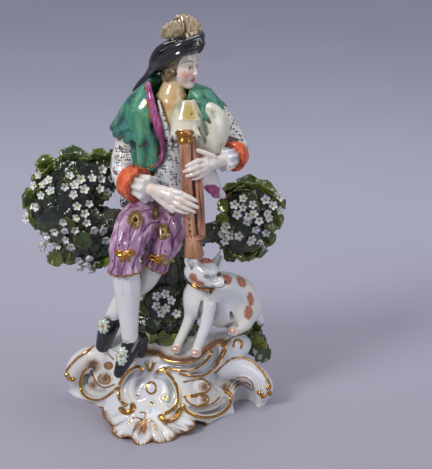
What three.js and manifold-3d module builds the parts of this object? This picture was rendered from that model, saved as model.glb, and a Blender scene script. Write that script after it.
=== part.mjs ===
// A porcelain group, fired as one piece: a seated bagpiper with a dog, a flowering tree and a scrolled base.
// Millimetres, +Z up, -Y towards the viewer and +X to the viewer's right.
// The origin is in the middle of the flat underside.
import * as THREE from "three";
import { mergeVertices } from "three/addons/utils/BufferGeometryUtils.js";
import Module from "manifold-3d";

const wasm = await Module();
wasm.setup();

// Driving dimensions
const BASE_TOP = 40; // height of the base's upper edge
const FLARE = 2.2; // how sharply the apron sweeps out to its foot
const RIM_LIP = 1.6; // how far the upper edge stands out from the apron
const TRIM_BLOCK = 400; // width and depth of the block that cuts the underside flat
const TRIM_DEPTH = 40;
const WELD = 1e-3; // corners closer than this are one corner
const LEAF_WIDTH = 0.85; // as a share of a leaf's length
const LEAF_KEEL = 1.5; // depth of a leaf under its edges
const LEAF_CREST = 0.9; // rise of a leaf's middle over its edges
const BLOSSOM_DEPTH = 4; // how far a blossom reaches down into the foliage
const BLOSSOM_NOTCH = 0.66; // reach of the dips between petals, as a share of the petals' reach

const GLAZE = new THREE.MeshStandardMaterial({ color: 0xe9ebe8, roughness: 0.15, metalness: 0 });

// Small helpers
const at = (x, y, z) => new THREE.Vector3(x, y, z);
const mix = (a, b, t) => a + (b - a) * t;
const smoothLoop = (points) =>
  new THREE.CatmullRomCurve3(points.map((p) => at(...p)), true, "catmullrom", 0.5);

// Six times the volume inside a closed set of triangles: negative when the faces point inwards
function sixVolumes(points, corners) {
  const point = (k) => at(points[3 * k], points[3 * k + 1], points[3 * k + 2]);
  let sum = 0;
  for (let i = 0; i < corners.length; i += 3) {
    sum += point(corners[i]).dot(point(corners[i + 1]).cross(point(corners[i + 2])));
  }
  return sum;
}

// A closed three.js geometry as a solid whose faces point outwards
function solidOf(geometry) {
  geometry.deleteAttribute("normal");
  geometry.deleteAttribute("uv");
  const merged = mergeVertices(geometry, WELD);
  const points = merged.attributes.position.array;
  const corners = merged.index.array;
  const inwards = sixVolumes(points, corners) < 0;
  const kept = [];
  for (let i = 0; i < corners.length; i += 3) {
    const [a, b, c] = [corners[i], corners[i + 1], corners[i + 2]];
    if (a === b || b === c || c === a) continue;
    kept.push(...(inwards ? [a, c, b] : [a, b, c]));
  }
  return new wasm.Manifold(
    new wasm.Mesh({ numProp: 3, vertProperties: points, triVerts: new Uint32Array(kept) }),
  );
}

const join = (solids) => solids.reduce((sum, next) => sum.add(next));

// A closed skin over rings of points that all run the same way, with a point at each end
function skinOver(rings, startTip, endTip) {
  const count = rings[0].length;
  const points = [startTip, ...rings.flat(), endTip];
  const last = points.length - 1;
  const id = (ring, k) => 1 + ring * count + (k % count);
  const index = [];
  for (let k = 0; k < count; k++) {
    index.push(0, id(0, k + 1), id(0, k));
    index.push(last, id(rings.length - 1, k), id(rings.length - 1, k + 1));
    for (let r = 0; r + 1 < rings.length; r++) {
      index.push(id(r, k), id(r, k + 1), id(r + 1, k));
      index.push(id(r + 1, k), id(r, k + 1), id(r + 1, k + 1));
    }
  }
  const geometry = new THREE.BufferGeometry().setFromPoints(points);
  geometry.setIndex(index);
  return solidOf(geometry);
}

// An ellipsoid, turned by Euler angles in degrees
function blob(centre, radii, turn = [0, 0, 0], around = 8, down = 6) {
  const geometry = new THREE.SphereGeometry(1, around, down);
  geometry.rotateX(Math.PI / 2);
  geometry.scale(...radii);
  const angles = turn.map(THREE.MathUtils.degToRad);
  geometry.applyMatrix4(new THREE.Matrix4().makeRotationFromEuler(new THREE.Euler(...angles)));
  geometry.translate(...centre);
  return solidOf(geometry);
}

// A round-ended limb through stations of x, y, z and radius, with steps rings for each span
function limb(stations, sides = 7, steps = 1) {
  const spans = stations.length - 1;
  const count = spans * steps;
  const path = stations.map(([x, y, z]) => at(x, y, z));
  const curve = new THREE.CatmullRomCurve3(path, false, "centripetal");
  curve.getPointAt = curve.getPoint;
  const frames = curve.computeFrenetFrames(count, false);
  const radiusAt = (i) => {
    const span = Math.min(Math.floor(i / steps), spans - 1);
    return mix(stations[span][3], stations[span + 1][3], i / steps - span);
  };
  const ring = (centre, i, radius) =>
    Array.from({ length: sides }, (_, k) => {
      const angle = (2 * Math.PI * k) / sides;
      return centre
        .clone()
        .addScaledVector(frames.normals[i], radius * Math.cos(angle))
        .addScaledVector(frames.binormals[i], radius * Math.sin(angle));
    });
  const centres = Array.from({ length: count + 1 }, (_, i) => curve.getPoint(i / count));
  const [first, final] = [radiusAt(0), radiusAt(count)];
  const before = (share) => centres[0].clone().addScaledVector(frames.tangents[0], -share * first);
  const after = (share) => centres[count].clone().addScaledVector(frames.tangents[count], share * final);
  const rings = [
    ring(before(0.6), 0, 0.75 * first),
    ...centres.map((centre, i) => ring(centre, i, radiusAt(i))),
    ring(after(0.6), count, 0.75 * final),
  ];
  return skinOver(rings, before(0.9), after(0.9));
}

// Base: an apron swept from the footprint up to the platform, both closed curves seen from above
const FOOTPRINT = smoothLoop(
  [
    [-8, -48], [20, -37], [30, -20], [44, -6], [61, 4], [63, 18], [48, 36], [18, 45],
    [-14, 46], [-42, 40], [-58, 31], [-54, 19], [-38, 5], [-34, -14], [-27, -36],
  ].map(([x, y]) => [x, y, 0]),
);
const PLATFORM = smoothLoop(
  [
    [2, -16], [16, -21], [25, -12], [31, 0], [38, 10], [38, 20], [32, 31], [14, 38],
    [-12, 38], [-34, 33], [-44, 25], [-42, 14], [-33, 2], [-25, -8], [-12, -14],
  ].map(([x, y]) => [x, y, 0]),
);
const APRON_POINTS = 30; // points round each level of the apron
const APRON_LEVELS = [-4, 1, 8, 18, 30, 37];
const sweep = (z) => 1 - (1 - THREE.MathUtils.clamp(z / BASE_TOP, 0, 1)) ** FLARE;

function apronRing(z, count, outset = 0) {
  return Array.from({ length: count }, (_, k) => {
    const point = FOOTPRINT.getPoint(k / count).lerp(PLATFORM.getPoint(k / count), sweep(z));
    const reach = Math.hypot(point.x, point.y - 10);
    return at(point.x * (1 + outset / reach), 10 + (point.y - 10) * (1 + outset / reach), z);
  });
}

// The apron's surface at a given x and z, on the side that faces the viewer
function onApron(x, z, lift = 0) {
  const ring = apronRing(z, 120);
  let y = Infinity;
  ring.forEach((a, k) => {
    const b = ring[(k + 1) % ring.length];
    if ((a.x - x) * (b.x - x) <= 0 && a.x !== b.x) y = Math.min(y, mix(a.y, b.y, (x - a.x) / (b.x - a.x)));
  });
  return [x, y - lift, z];
}

function apron() {
  const rings = [
    ...APRON_LEVELS.map((z) => apronRing(z, APRON_POINTS)),
    apronRing(38.5, APRON_POINTS, RIM_LIP),
    apronRing(BASE_TOP + 1, APRON_POINTS, RIM_LIP / 2),
  ];
  return skinOver(rings, at(0, 5, APRON_LEVELS[0]), at(0, 8, BASE_TOP));
}

// Raised scrolls of the apron: x and z in the front view, and the roll's radius
const APRON_SCROLLS = [
  [[-9.5, 33.5, 1.5], [-17, 31, 2.2], [-23, 24, 2.4], [-23.5, 18, 2.4], [-20, 12.5, 2.4], [-15.5, 12, 2.8]],
  [[0.5, 31.5, 1.5], [8, 30, 2.2], [11.5, 23, 2.4], [10.5, 16.5, 2.2], [6, 11.5, 2.4], [3, 10, 2.8]],
  [[-46, 19, 2.8], [-50, 11, 2.2], [-46, 4.5, 2], [-37, 3.5, 2], [-26, 17, 1.6]],
  [[16, 9, 1.4], [29, 3.5, 2.2], [38, 3.5, 2.2], [44, 9, 2.4], [40, 12.5, 3]],
];

// The shell at the foot: ribs that fan out from a hinge, as the reach of each rib's tip
const SHELL_HINGE = at(-4.5, -22, 16);
const SHELL_TIPS = [
  [-34, -8, 4], [-32, -22, 0], [-28, -29, 4], [-23, -39, 0], [-17, -38, 4], [-8, -47.5, 0],
  [-3, -43, 4], [4, -45, 0], [9, -39, 4], [21, -33, 1], [19, -25, 8],
];

function shell() {
  const rings = SHELL_TIPS.map(([x, y, z], k) => {
    const rib = k % 2 ? 1.6 : -1;
    const middle = SHELL_HINGE.clone().lerp(at(x, y, z), 0.6);
    return [
      SHELL_HINGE.clone().setZ(SHELL_HINGE.z + 2),
      middle.setZ(middle.z + rib),
      at(x, y, z + 3 + rib),
      at(x * 0.97, y * 0.97, -2),
      SHELL_HINGE.clone().setZ(-2),
    ];
  });
  const end = (k) => SHELL_HINGE.clone().lerp(at(...SHELL_TIPS.at(k)), 0.5).setZ(2);
  return skinOver(rings, end(0), end(-1));
}

function base() {
  const scrolls = APRON_SCROLLS.map((scroll) =>
    limb(scroll.map(([x, z, radius]) => [...onApron(x, z, 0.5), radius]), 4),
  );
  const ornaments = [
    blob(onApron(-4, 23), [3, 2.2, 4], [-20, 0, 0], 6, 4),
    limb([[...onApron(13, 25, -1), 2.6], [...onApron(28, 21, -1), 4.4]], 6),
    limb([[...onApron(14, 19, -1), 2.4], [...onApron(27, 13.5, -1), 3.4]], 6),
    limb([[22, -14, 36, 1.6], [31, -2, 38, 2.2], [38, 6, 43, 2.6], [33, 8, 47, 1.6]], 5),
    limb([[36, 4, 26, 8], [47, 6, 25, 7.5], [57, 6, 19, 7], [62.5, 6, 12, 6.5], [61, 6, 3, 5.5]]),
    limb([[-38, 16, 29, 6.5], [-48, 18, 24, 7], [-55, 20, 15, 6.5], [-54.5, 20, 4, 5.5]]),
  ];
  const arches = [
    blob([50.5, 12, 0], [6.5, 20, 10]),
    blob([-49.5, 14, 0], [3.5, 14, 7]),
    blob([0, 48, 0], [17, 10, 9]),
  ];
  const body = join([apron(), shell(), ...scrolls, ...ornaments]);
  return arches.reduce((rest, arch) => rest.subtract(arch), body);
}

function ground() {
  return join([
    blob([3, 13, 38], [37, 22, 9], [0, 0, 0], 10, 5),
    blob([45, 12, 42], [13, 12, 10]),
    limb([[5, 16, 42, 18], [6, 15, 60, 13], [5, 15, 88, 12], [0, 12, 114, 14]]),
    blob([0, 5, 68], [11, 7, 15]),
    limb([[44, 20, 24, 7], [57, 22, 30, 5.5], [58, 24, 42, 4.5], [54, 24, 52, 2]], 5),
  ]);
}

// Foliage: a leaf is a keeled blade from its stalk along the way it points
function leaf(stalk, towards, facing, length, width) {
  const along = towards.clone().normalize();
  const up = facing.clone().addScaledVector(along, -facing.dot(along)).normalize();
  const across = up.clone().cross(along);
  const place = (u, v, w) =>
    stalk.clone().addScaledVector(along, u * length).addScaledVector(across, v).addScaledVector(up, w);
  const rings = [[0.1, 0.85], [0.6, 0.9]].map(([u, share]) => {
    const half = (share * width) / 2;
    return [place(u, -half, 0), place(u, 0, -LEAF_KEEL), place(u, half, 0), place(u, 0, LEAF_CREST)];
  });
  return skinOver(rings, place(-0.1, 0, 0), place(1, 0, 0));
}

// A blossom is a five-pointed cup
function blossom(centre, facing, radius) {
  const up = facing.clone().normalize();
  const side = up.clone().cross(at(0.31, 0.17, 0.93)).normalize();
  const other = up.clone().cross(side);
  const corners = Array.from({ length: 10 }, (_, k) => {
    const reach = k % 2 ? BLOSSOM_NOTCH * radius : radius;
    const angle = (Math.PI * k) / 5;
    return centre
      .clone()
      .addScaledVector(side, reach * Math.cos(angle))
      .addScaledVector(other, reach * Math.sin(angle));
  });
  const tip = (rise) => centre.clone().addScaledVector(up, rise);
  return skinOver([corners], tip(-BLOSSOM_DEPTH), tip(1));
}

// Tree: each crown is a few lumps of foliage with a rim of leaves and clusters of blossom
const CROWNS = [
  {
    centre: [-49, 21, 120],
    rim: [21, 30],
    lumps: [[-47, 22, 138, 26, 9, 20], [-57, 20, 120, 23, 9, 23], [-42, 21, 101, 22, 9, 20]],
    leaves: 11,
    leafLength: 14.5,
    firstLeaf: 10,
    blossoms: [
      [-66, 134, 8], [-54, 138, 8], [-40, 141, 9], [-50, 124, 9], [-66, 115, 9],
      [-42, 112, 8], [-50, 95, 9],
    ],
    branch: [[1, 20, 98, 10], [-20, 22, 110, 7], [-38, 23, 116, 6]],
  },
  {
    centre: [54, 22, 114],
    rim: [12, 20],
    lumps: [[55, 22, 121, 19, 8, 19], [50, 21, 104, 18, 8, 17]],
    leaves: 9,
    leafLength: 12.5,
    firstLeaf: -20,
    blossoms: [[44, 125, 8], [60, 126, 8], [51, 113, 8], [49, 101, 8]],
    branch: [[4, 20, 92, 9], [24, 22, 103, 6.5], [42, 22, 108, 6]],
  },
];
// How far towards the viewer the lumps reach at x and z
function frontOf(lumps, x, z) {
  const depths = lumps.map(([cx, cy, cz, a, b, c]) => {
    const left = 1 - ((x - cx) / a) ** 2 - ((z - cz) / c) ** 2;
    return cy - b * Math.sqrt(Math.max(left, 0));
  });
  return Math.min(...depths);
}

function crown({ centre, rim, lumps, leaves, leafLength, firstLeaf, blossoms, branch }) {
  const core = lumps.map(([x, y, z, ...radii]) => blob([x, y, z], radii, [0, 0, 0], 9, 6));
  const blades = Array.from({ length: leaves }, (_, k) => {
    const angle = THREE.MathUtils.degToRad(firstLeaf) + (2 * Math.PI * k) / leaves;
    const side = k % 2 ? 4 : -2;
    const stalk = at(
      centre[0] + rim[0] * Math.cos(angle),
      centre[1] + side,
      centre[2] + rim[1] * Math.sin(angle),
    );
    const towards = at(Math.cos(angle), side * 0.05, Math.sin(angle));
    return leaf(stalk, towards, at(0, -1, 0.2), leafLength, LEAF_WIDTH * leafLength);
  });
  const flowers = blossoms.map(([x, z, radius]) => {
    const facing = at((x - centre[0]) / 60, -1, (z - centre[2]) / 60 + 0.1);
    return blossom(at(x, frontOf(lumps, x, z), z), facing, radius);
  });
  return join([...core, ...blades, ...flowers, limb(branch, 6)]);
}

// Piper's legs and shoes
function legs() {
  return join([
    limb(
      [
        [-3, 6, 124, 12.5], [-12, -10, 119, 10.6], [-17.3, -18, 109, 8.8], [-18.3, -20, 103, 8.2],
        [-18.5, -20.3, 101, 9.8], [-18.4, -20.2, 96, 8.8], [-18, -19.8, 94.5, 7], [-17, -18.5, 85, 8],
        [-16.6, -19, 70, 6.2], [-16, -19.5, 56, 4.8],
      ],
    ),
    limb(
      [
        [5, 8, 124, 11.5], [7, -1, 117, 9.8], [4.5, -7, 105, 8.4], [1.5, -8, 98, 8.6],
        [-1, -7.6, 94, 7.2], [-8, -4, 85, 7.8], [-19, 0, 73, 6.2], [-27, 1, 62, 4.6],
      ],
    ),
    limb([[-13.5, -18, 52, 5.2], [-17.5, -23, 45.5, 5.6], [-22, -28.5, 35.5, 3.2]], 6),
    limb([[-26, 2, 58, 5], [-30, 0, 52, 6], [-33.5, 1, 41, 4.4]], 6),
    blob([-18.5, -27.5, 48.5], [3.8, 2.6, 4.4], [-30, 0, 0], 6, 5),
    blob([-31, -4.5, 58], [3.8, 2.4, 4.6], [-10, 0, 0], 6, 5),
  ]);
}

// The short cape: a rippled cone that lies over the shoulders
const CAPE_HEM = smoothLoop([
  [-7, 1, 167.5], [-18, 4, 165.5], [-26, 12, 167], [-21, 21, 166], [8, 26, 166],
  [32, 23, 174], [38.5, 16, 181], [36, 7, 178], [27, 0, 176], [10, 2, 172],
]);
const CAPE_NECK = [8, 9, 193];
const CAPE_FOLDS = 9;

function cape() {
  const hem = Array.from({ length: 2 * CAPE_FOLDS }, (_, k) => {
    const fold = k % 2 ? 0.92 : 1.02;
    return CAPE_HEM.getPoint(k / (2 * CAPE_FOLDS)).sub(at(...CAPE_NECK)).multiplyScalar(fold);
  });
  const ringAt = (share, bulge) =>
    hem.map((p) => at(p.x * share + CAPE_NECK[0], p.y * share + CAPE_NECK[1], p.z * bulge + CAPE_NECK[2]));
  return skinOver([ringAt(1, 1), ringAt(0.8, 0.55), ringAt(0.3, 0)], at(8, 10, 170), at(9, 8, 196));
}

function fingers(stations) {
  return stations.map((station) => limb(station, 4));
}

// Piper's body, coat and arms
function body() {
  const trunk = [
    blob([6, 10, 166], [18, 11, 19]),
    blob([3, 9, 145], [13.5, 10.5, 15]),
    blob([1, 9, 129], [16, 13, 13]),
    limb([[7, 9, 184, 8], [9.5, 8, 194, 6.6], [13, 6, 203, 6]], 7),
    cape(),
    limb([[-4, 0, 189, 2.4], [-0.5, -4, 174, 3], [2, -4.5, 162, 3], [-1, -3.5, 151, 2]], 5),
    limb([[10, 5, 153, 6], [22, 3, 148, 5], [30, 7, 140, 4.4], [36, 10, 133, 2.6]], 5),
  ];
  const nearArm = limb(
    [
      [-11, 12, 178, 8.4], [-16, 9.5, 163, 7.8], [-19, 5.5, 150, 8], [-17, 1, 143.5, 8.6],
      [-9.5, -7, 141.5, 9.4], [-8, -8.6, 141.3, 6.6], [-4, -13, 141, 7], [-1, -15.5, 141.2, 3.8],
      [4, -19, 141, 4.6], [10, -22.5, 139.5, 5],
    ],
  );
  const farArm = limb(
    [
      [32, 12, 180, 7.6], [40, 10, 170, 7], [45, 6.5, 161, 6.8], [45.5, 3.5, 158, 7.6],
      [42.5, -1, 156.5, 8.2], [41.5, -2.4, 156.5, 5.6], [38, -7, 156.5, 6], [36, -9, 156.5, 3.8],
      [32, -13, 156.3, 4.6], [27.5, -17, 156, 4.8],
    ],
  );
  const hands = fingers([
    [[10, -22.5, 142.5, 2.4], [18, -25, 139.5, 2.2], [22, -25, 135, 1.8]],
    [[9, -23, 139.5, 2.4], [16, -26, 136, 2.2], [20.5, -26, 132, 1.8]],
    [[7, -22, 136.5, 2.4], [13, -25, 133, 2.2], [16.5, -25.5, 130, 1.8]],
    [[28, -17, 158.8, 2.4], [21, -21, 158.5, 2.2], [16.5, -21, 157.5, 1.8]],
    [[27, -18, 155.6, 2.4], [20, -22, 154.5, 2.2], [16.3, -21.5, 153.5, 1.8]],
    [[27.5, -17, 152.6, 2.4], [22.5, -20.5, 150.8, 2.2], [19.5, -21, 149.8, 1.8]],
  ]);
  return join([...trunk, nearArm, farArm, ...hands]);
}

// Piper's head, whose own axes are forward, left and up
const HEAD = at(14, 6, 208);
const FORWARD = at(0.8, -0.6, -0.05).normalize();
const LEFT = at(0, 0, 1).cross(FORWARD).normalize();
const UP = FORWARD.clone().cross(LEFT);
const HEAD_TURN = THREE.MathUtils.radToDeg(Math.atan2(FORWARD.y, FORWARD.x));

function inHead(forward, left, up) {
  const point = HEAD.clone();
  point.addScaledVector(FORWARD, forward).addScaledVector(LEFT, left).addScaledVector(UP, up);
  return point.toArray();
}

function head() {
  return join([
    blob(inHead(0, 0, 2), [9.8, 8.4, 10.6], [0, 0, HEAD_TURN], 9, 7),
    blob(inHead(3.2, 0, -6), [6.4, 5.8, 6.2], [0, 0, HEAD_TURN]),
    limb([[...inHead(8.6, 0, 2), 1], [...inHead(10.4, 0, -3), 1.8]], 5),
    blob([4.5, 7, 202], [4.5, 5, 7], [0, 15, 0], 7, 5),
  ]);
}

function hat() {
  const brim = [
    [27, -1, 220], [15, -6.5, 214], [3, 0, 208], [-3.5, 10, 203], [2, 17, 208], [14, 17, 216], [25, 9, 221],
  ];
  return join([
    blob([12, 7.5, 217], [13, 10.5, 8], [0, -18, 0], 9, 6),
    limb([...brim, brim[0]].map((p) => [...p, 3.5]), 5),
    blob([26.5, -1, 222.5], [3.4, 3.2, 5], [0, 0, 0], 6, 5),
    limb([[-2, 11, 204, 4.2], [-8, 15, 197, 3.2], [-12.5, 17.5, 191, 1.6]], 5),
    blob([8.5, 8.5, 226], [8, 6, 6.5], [0, -20, 0]),
    blob([17.5, 8, 228.5], [8.5, 6, 7.3], [0, 15, 0]),
  ]);
}

// Bagpipe: the bag under the arm, the melody pipe with its bell, and a second pipe behind it
function bagpipe() {
  return join([
    blob([26, -1, 173], [15.5, 10, 16.5], [0, 25, 0], 9, 7),
    blob([17, -8.5, 177], [8, 7, 13], [0, -12, 0]),
    limb(
      [
        [16.2, -15.5, 176, 4], [16.5, -18, 171.5, 4.8], [16.7, -18.3, 168.5, 3.6], [17.6, -19, 150, 3.2],
        [19.5, -19.5, 122, 3.4], [20, -20, 113, 3.8], [22.5, -20, 102, 5.2],
      ],
    ),
    limb([[23.4, -16.5, 153, 2.6], [24.4, -17.5, 135, 2.6], [25, -18, 119, 3]], 5),
  ]);
}

function dog() {
  return join([
    limb([[24, -2, 72, 9], [34, 4, 76, 9.8], [46, 12, 69, 11.4], [50, 14, 60, 11]]),
    blob([22.5, -4, 70], [7.8, 8, 10]),
    limb([[23, -3, 76, 7.6], [25.5, -6, 86, 7]], 7),
    limb([[22, -6, 89, 6.6], [28.5, -8.5, 88.5, 7.2], [32, -11, 86.5, 4.4], [37, -13.2, 85, 2.8]], 7),
    limb([[20.3, -4.5, 92, 3.2], [17.8, -3.5, 98.5, 1.4]], 4),
    limb([[31, -3, 93, 3.2], [36, 0, 99.5, 1.4]], 4),
    limb([[20, -5, 71, 4.6], [18.2, -6, 61, 3.6], [14, -8, 52, 2.8], [10.5, -10, 43.5, 3.4]], 5),
    limb([[29, -8, 70, 4.8], [28, -11, 60, 3.6], [25, -13.5, 52, 2.9], [22, -15.5, 43.5, 3.4]], 5),
    blob([48.5, 8, 60], [9, 8, 13], [0, 10, 0]),
    limb([[47, 5, 53, 4.8], [43, 1, 50, 3.8]], 5),
    blob([37, 5, 62], [11, 8, 12]),
  ]);
}

// The outer skin of a joined solid, without the sealed pockets that the joins enclose
function outerSkin(solid) {
  const { vertProperties: points, triVerts: corners, numVert } = solid.getMesh();
  const parent = Array.from({ length: numVert }, (_, k) => k);
  const rootOf = (k) => {
    while (parent[k] !== k) k = parent[k] = parent[parent[k]];
    return k;
  };
  for (let i = 0; i < corners.length; i += 3) {
    parent[rootOf(corners[i])] = rootOf(corners[i + 1]);
    parent[rootOf(corners[i + 1])] = rootOf(corners[i + 2]);
  }
  const shells = new Map();
  for (let i = 0; i < corners.length; i += 3) {
    const root = rootOf(corners[i]);
    if (!shells.has(root)) shells.set(root, []);
    shells.get(root).push(corners[i], corners[i + 1], corners[i + 2]);
  }
  const [largest] = [...shells.values()].sort((a, b) => sixVolumes(points, b) - sixVolumes(points, a));
  const geometry = new THREE.BufferGeometry();
  geometry.setAttribute("position", new THREE.BufferAttribute(points, 3));
  geometry.setIndex(largest);
  return geometry.toNonIndexed();
}

const forms = [base(), ground(), ...CROWNS.map(crown), legs(), body(), head(), hat(), bagpipe(), dog()];
const floor = new THREE.BoxGeometry(TRIM_BLOCK, TRIM_BLOCK, TRIM_DEPTH).translate(0, 0, -TRIM_DEPTH / 2);
const whole = join(forms).subtract(solidOf(floor));

const porcelain = new THREE.Mesh(outerSkin(whole), GLAZE);
porcelain.name = "porcelain_piper_group";
const group = new THREE.Group();
group.add(porcelain);
export default group;
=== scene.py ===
import itertools
import math

import bpy
import numpy as np
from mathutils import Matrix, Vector


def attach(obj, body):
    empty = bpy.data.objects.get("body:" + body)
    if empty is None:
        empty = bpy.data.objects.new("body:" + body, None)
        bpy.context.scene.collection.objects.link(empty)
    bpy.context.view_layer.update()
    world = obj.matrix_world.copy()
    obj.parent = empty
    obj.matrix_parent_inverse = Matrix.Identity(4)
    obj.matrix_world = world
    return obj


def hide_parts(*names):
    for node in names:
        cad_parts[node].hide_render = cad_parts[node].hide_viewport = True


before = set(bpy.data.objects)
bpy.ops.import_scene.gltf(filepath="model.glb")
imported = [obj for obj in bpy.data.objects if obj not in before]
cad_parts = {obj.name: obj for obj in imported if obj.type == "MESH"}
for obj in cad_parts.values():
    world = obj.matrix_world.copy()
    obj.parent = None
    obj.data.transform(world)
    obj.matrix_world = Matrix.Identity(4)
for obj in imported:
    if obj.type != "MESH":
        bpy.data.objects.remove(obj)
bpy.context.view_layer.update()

# Driving values
NODE = "porcelain_piper_group"
MM = 0.001
FAR = 60.0  # a distance, in mm, that stands for nothing near
BASE_TOP = 40.0
FLARE = 2.2  # how sharply the apron sweeps out to its foot
BASE_MIDDLE = 10.0  # y of the axis that the base's outlines are measured round

CAMERA_PLACE = (0.0336, -0.757, 0.349)
CAMERA_PITCH = 17.5  # degrees below the horizon
CAMERA_LENS = 105.47
SENSOR = 36.0
EYE = np.array(CAMERA_PLACE) / MM


# Small geometry helpers
def unit(v):
    v = np.asarray(v, float)
    return v / np.linalg.norm(v)


def turned(degrees):
    """Rotation matrix for angles about x, y and z, applied z first."""
    x, y, z = np.radians(degrees)
    rx = np.array([[1, 0, 0], [0, math.cos(x), -math.sin(x)], [0, math.sin(x), math.cos(x)]])
    ry = np.array([[math.cos(y), 0, math.sin(y)], [0, 1, 0], [-math.sin(y), 0, math.cos(y)]])
    rz = np.array([[math.cos(z), -math.sin(z), 0], [math.sin(z), math.cos(z), 0], [0, 0, 1]])
    return rx @ ry @ rz


def smooth_path(stations, step=1.5, closed=False):
    """A Catmull-Rom curve through rows of numbers, the first three a place, sampled about every step mm."""
    rows = np.asarray(stations, float)
    count = len(rows)
    spans = count if closed else count - 1
    out = []
    for k in range(spans):
        if closed:
            a, b, c, d = (rows[(k + j) % count] for j in (-1, 0, 1, 2))
        else:
            b, c = rows[k], rows[k + 1]
            a = rows[k - 1] if k else 2 * b - c
            d = rows[k + 2] if k + 2 < count else 2 * c - b
        length = np.linalg.norm((c - b)[:3])
        steps = max(int(math.ceil(length / step)), 2)
        tension = min(1.0, length / max(np.linalg.norm((b - a)[:3]), 1e-6))
        tension_end = min(1.0, length / max(np.linalg.norm((d - c)[:3]), 1e-6))
        start = 0.5 * (c - a) * tension
        end = 0.5 * (d - b) * tension_end
        for i in range(steps):
            t = i / steps
            h = (2 * t**3 - 3 * t**2 + 1, t**3 - 2 * t**2 + t, -2 * t**3 + 3 * t**2, t**3 - t**2)
            out.append(h[0] * b + h[1] * start + h[2] * c + h[3] * end)
    if not closed:
        out.append(rows[-1])
    return np.array(out)


def ripple(p, size, seed):
    """Smooth noise between about -1 and 1, with features of that size."""
    random = np.random.default_rng(seed)
    total = 0.0
    for _ in range(7):
        direction = random.normal(size=3)
        direction /= np.linalg.norm(direction)
        turn = 2 * math.pi / (size * random.uniform(0.7, 1.5))
        total = total + np.sin(p @ (direction * turn) + random.uniform(0, 6.3))
    return total / 3.5


# Signed distance shapes: each is a list of parts, and a part is (distance function, low corner, high corner)
def ball(centre, radii, turn=(0, 0, 0)):
    centre = np.array(centre, float)
    radii = np.ones(3) * radii
    spin = turned(turn)
    half = np.sqrt(((spin * radii) ** 2).sum(axis=1))

    def distance(p):
        q = (p - centre) @ spin
        outer = np.linalg.norm(q / radii, axis=-1)
        inner = np.linalg.norm(q / radii**2, axis=-1)
        return outer * (outer - 1) / np.maximum(inner, 1e-6)

    return [(distance, centre - half, centre + half)]


def cone_part(a, b):
    start, end, r0, r1 = a[:3], b[:3], a[3], b[3]
    along = end - start
    square = max(along @ along, 1e-9)

    def distance(p):
        q = p - start
        share = np.clip((q @ along) / square, 0, 1)
        return np.linalg.norm(q - share[..., None] * along, axis=-1) - (r0 + share * (r1 - r0))

    reach = max(r0, r1)
    return (distance, np.minimum(start, end) - reach, np.maximum(start, end) + reach)


def tube(stations, step=1.5, closed=False):
    """A round-ended tube through stations of x, y, z and radius."""
    path = smooth_path(stations, step, closed)
    if closed:
        path = np.vstack([path, path[:1]])
    return [cone_part(a, b) for a, b in zip(path, path[1:])]


def drum(start, end, r0, r1, rounding=0.6, folds=0, depth=0.0, phase=0.0):
    """A flat-ended cone from start to end, whose side may be fluted by folds of a depth."""
    start, end = np.array(start, float), np.array(end, float)
    axis = end - start
    length = np.linalg.norm(axis)
    axis /= length
    side = unit(np.cross(axis, (0.3, 0.2, 0.93)))
    other = np.cross(axis, side)

    def distance(p):
        q = p - start
        height = q @ axis
        share = np.clip(height / length, 0, 1)
        u, v = q @ side, q @ other
        radius = r0 + share * (r1 - r0)
        if folds:
            radius = radius + depth * np.sin(folds * np.arctan2(v, u) + phase)
        radial = np.hypot(u, v) - radius + rounding
        axial = np.abs(height - length / 2) - length / 2 + rounding
        outside = np.hypot(np.maximum(radial, 0), np.maximum(axial, 0))
        return outside + np.minimum(np.maximum(radial, axial), 0) - rounding

    reach = max(r0, r1) + depth
    return [(distance, np.minimum(start, end) - reach, np.maximum(start, end) + reach)]


def shape_distance(shape, points, reach=4.0):
    """Distance of scattered points to a shape, exact only within reach of it."""
    best = np.full(len(points), FAR)
    for distance, low, high in shape:
        near = np.all((points > low - reach) & (points < high + reach), axis=1)
        if near.any():
            best[near] = np.minimum(best[near], distance(points[near]))
    return best


def line_distance(path, points, reach=8.0, depth=1.0):
    """Distance of points to a polyline, with distance in y counted only by the share depth."""
    weights = np.array((1, depth, 1))
    parts = [cone_part(np.append(a[:3] * weights, 0), np.append(b[:3] * weights, 0)) for a, b in zip(path, path[1:])]
    return shape_distance(parts, points * weights, reach)


def spot_distance(points, centre, radii, depth=0.35):
    """Distance to a painted spot as a share of its radii, nearly as it is seen from the front."""
    wide, high = radii
    return np.linalg.norm((points - centre) / (wide, max(radii) / depth, high), axis=1)


def soft_min(a, b, blend):
    if blend <= 0:
        return np.minimum(a, b)
    share = np.maximum(blend - np.abs(a - b), 0) / blend
    return np.minimum(a, b) - share * share * blend / 4


def sample(field, low, voxel, points):
    """The field at scattered points, by trilinear interpolation."""
    place = (points - low) / voxel
    place = np.clip(place, 0, np.array(field.shape) - 1.001)
    cell = place.astype(int)
    f = place - cell
    total = 0.0
    for i, j, k in itertools.product((0, 1), repeat=3):
        weight = (f[:, 0] if i else 1 - f[:, 0]) * (f[:, 1] if j else 1 - f[:, 1]) * (f[:, 2] if k else 1 - f[:, 2])
        total = total + weight * field[cell[:, 0] + i, cell[:, 1] + j, cell[:, 2] + k]
    return total


def gradient(field, low, voxel, points):
    step = 0.6 * voxel
    columns = []
    for axis in range(3):
        shift = np.zeros(3)
        shift[axis] = step
        ahead = sample(field, low, voxel, points + shift)
        behind = sample(field, low, voxel, points - shift)
        columns.append((ahead - behind) / (2 * step))
    return np.stack(columns, axis=1)


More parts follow.
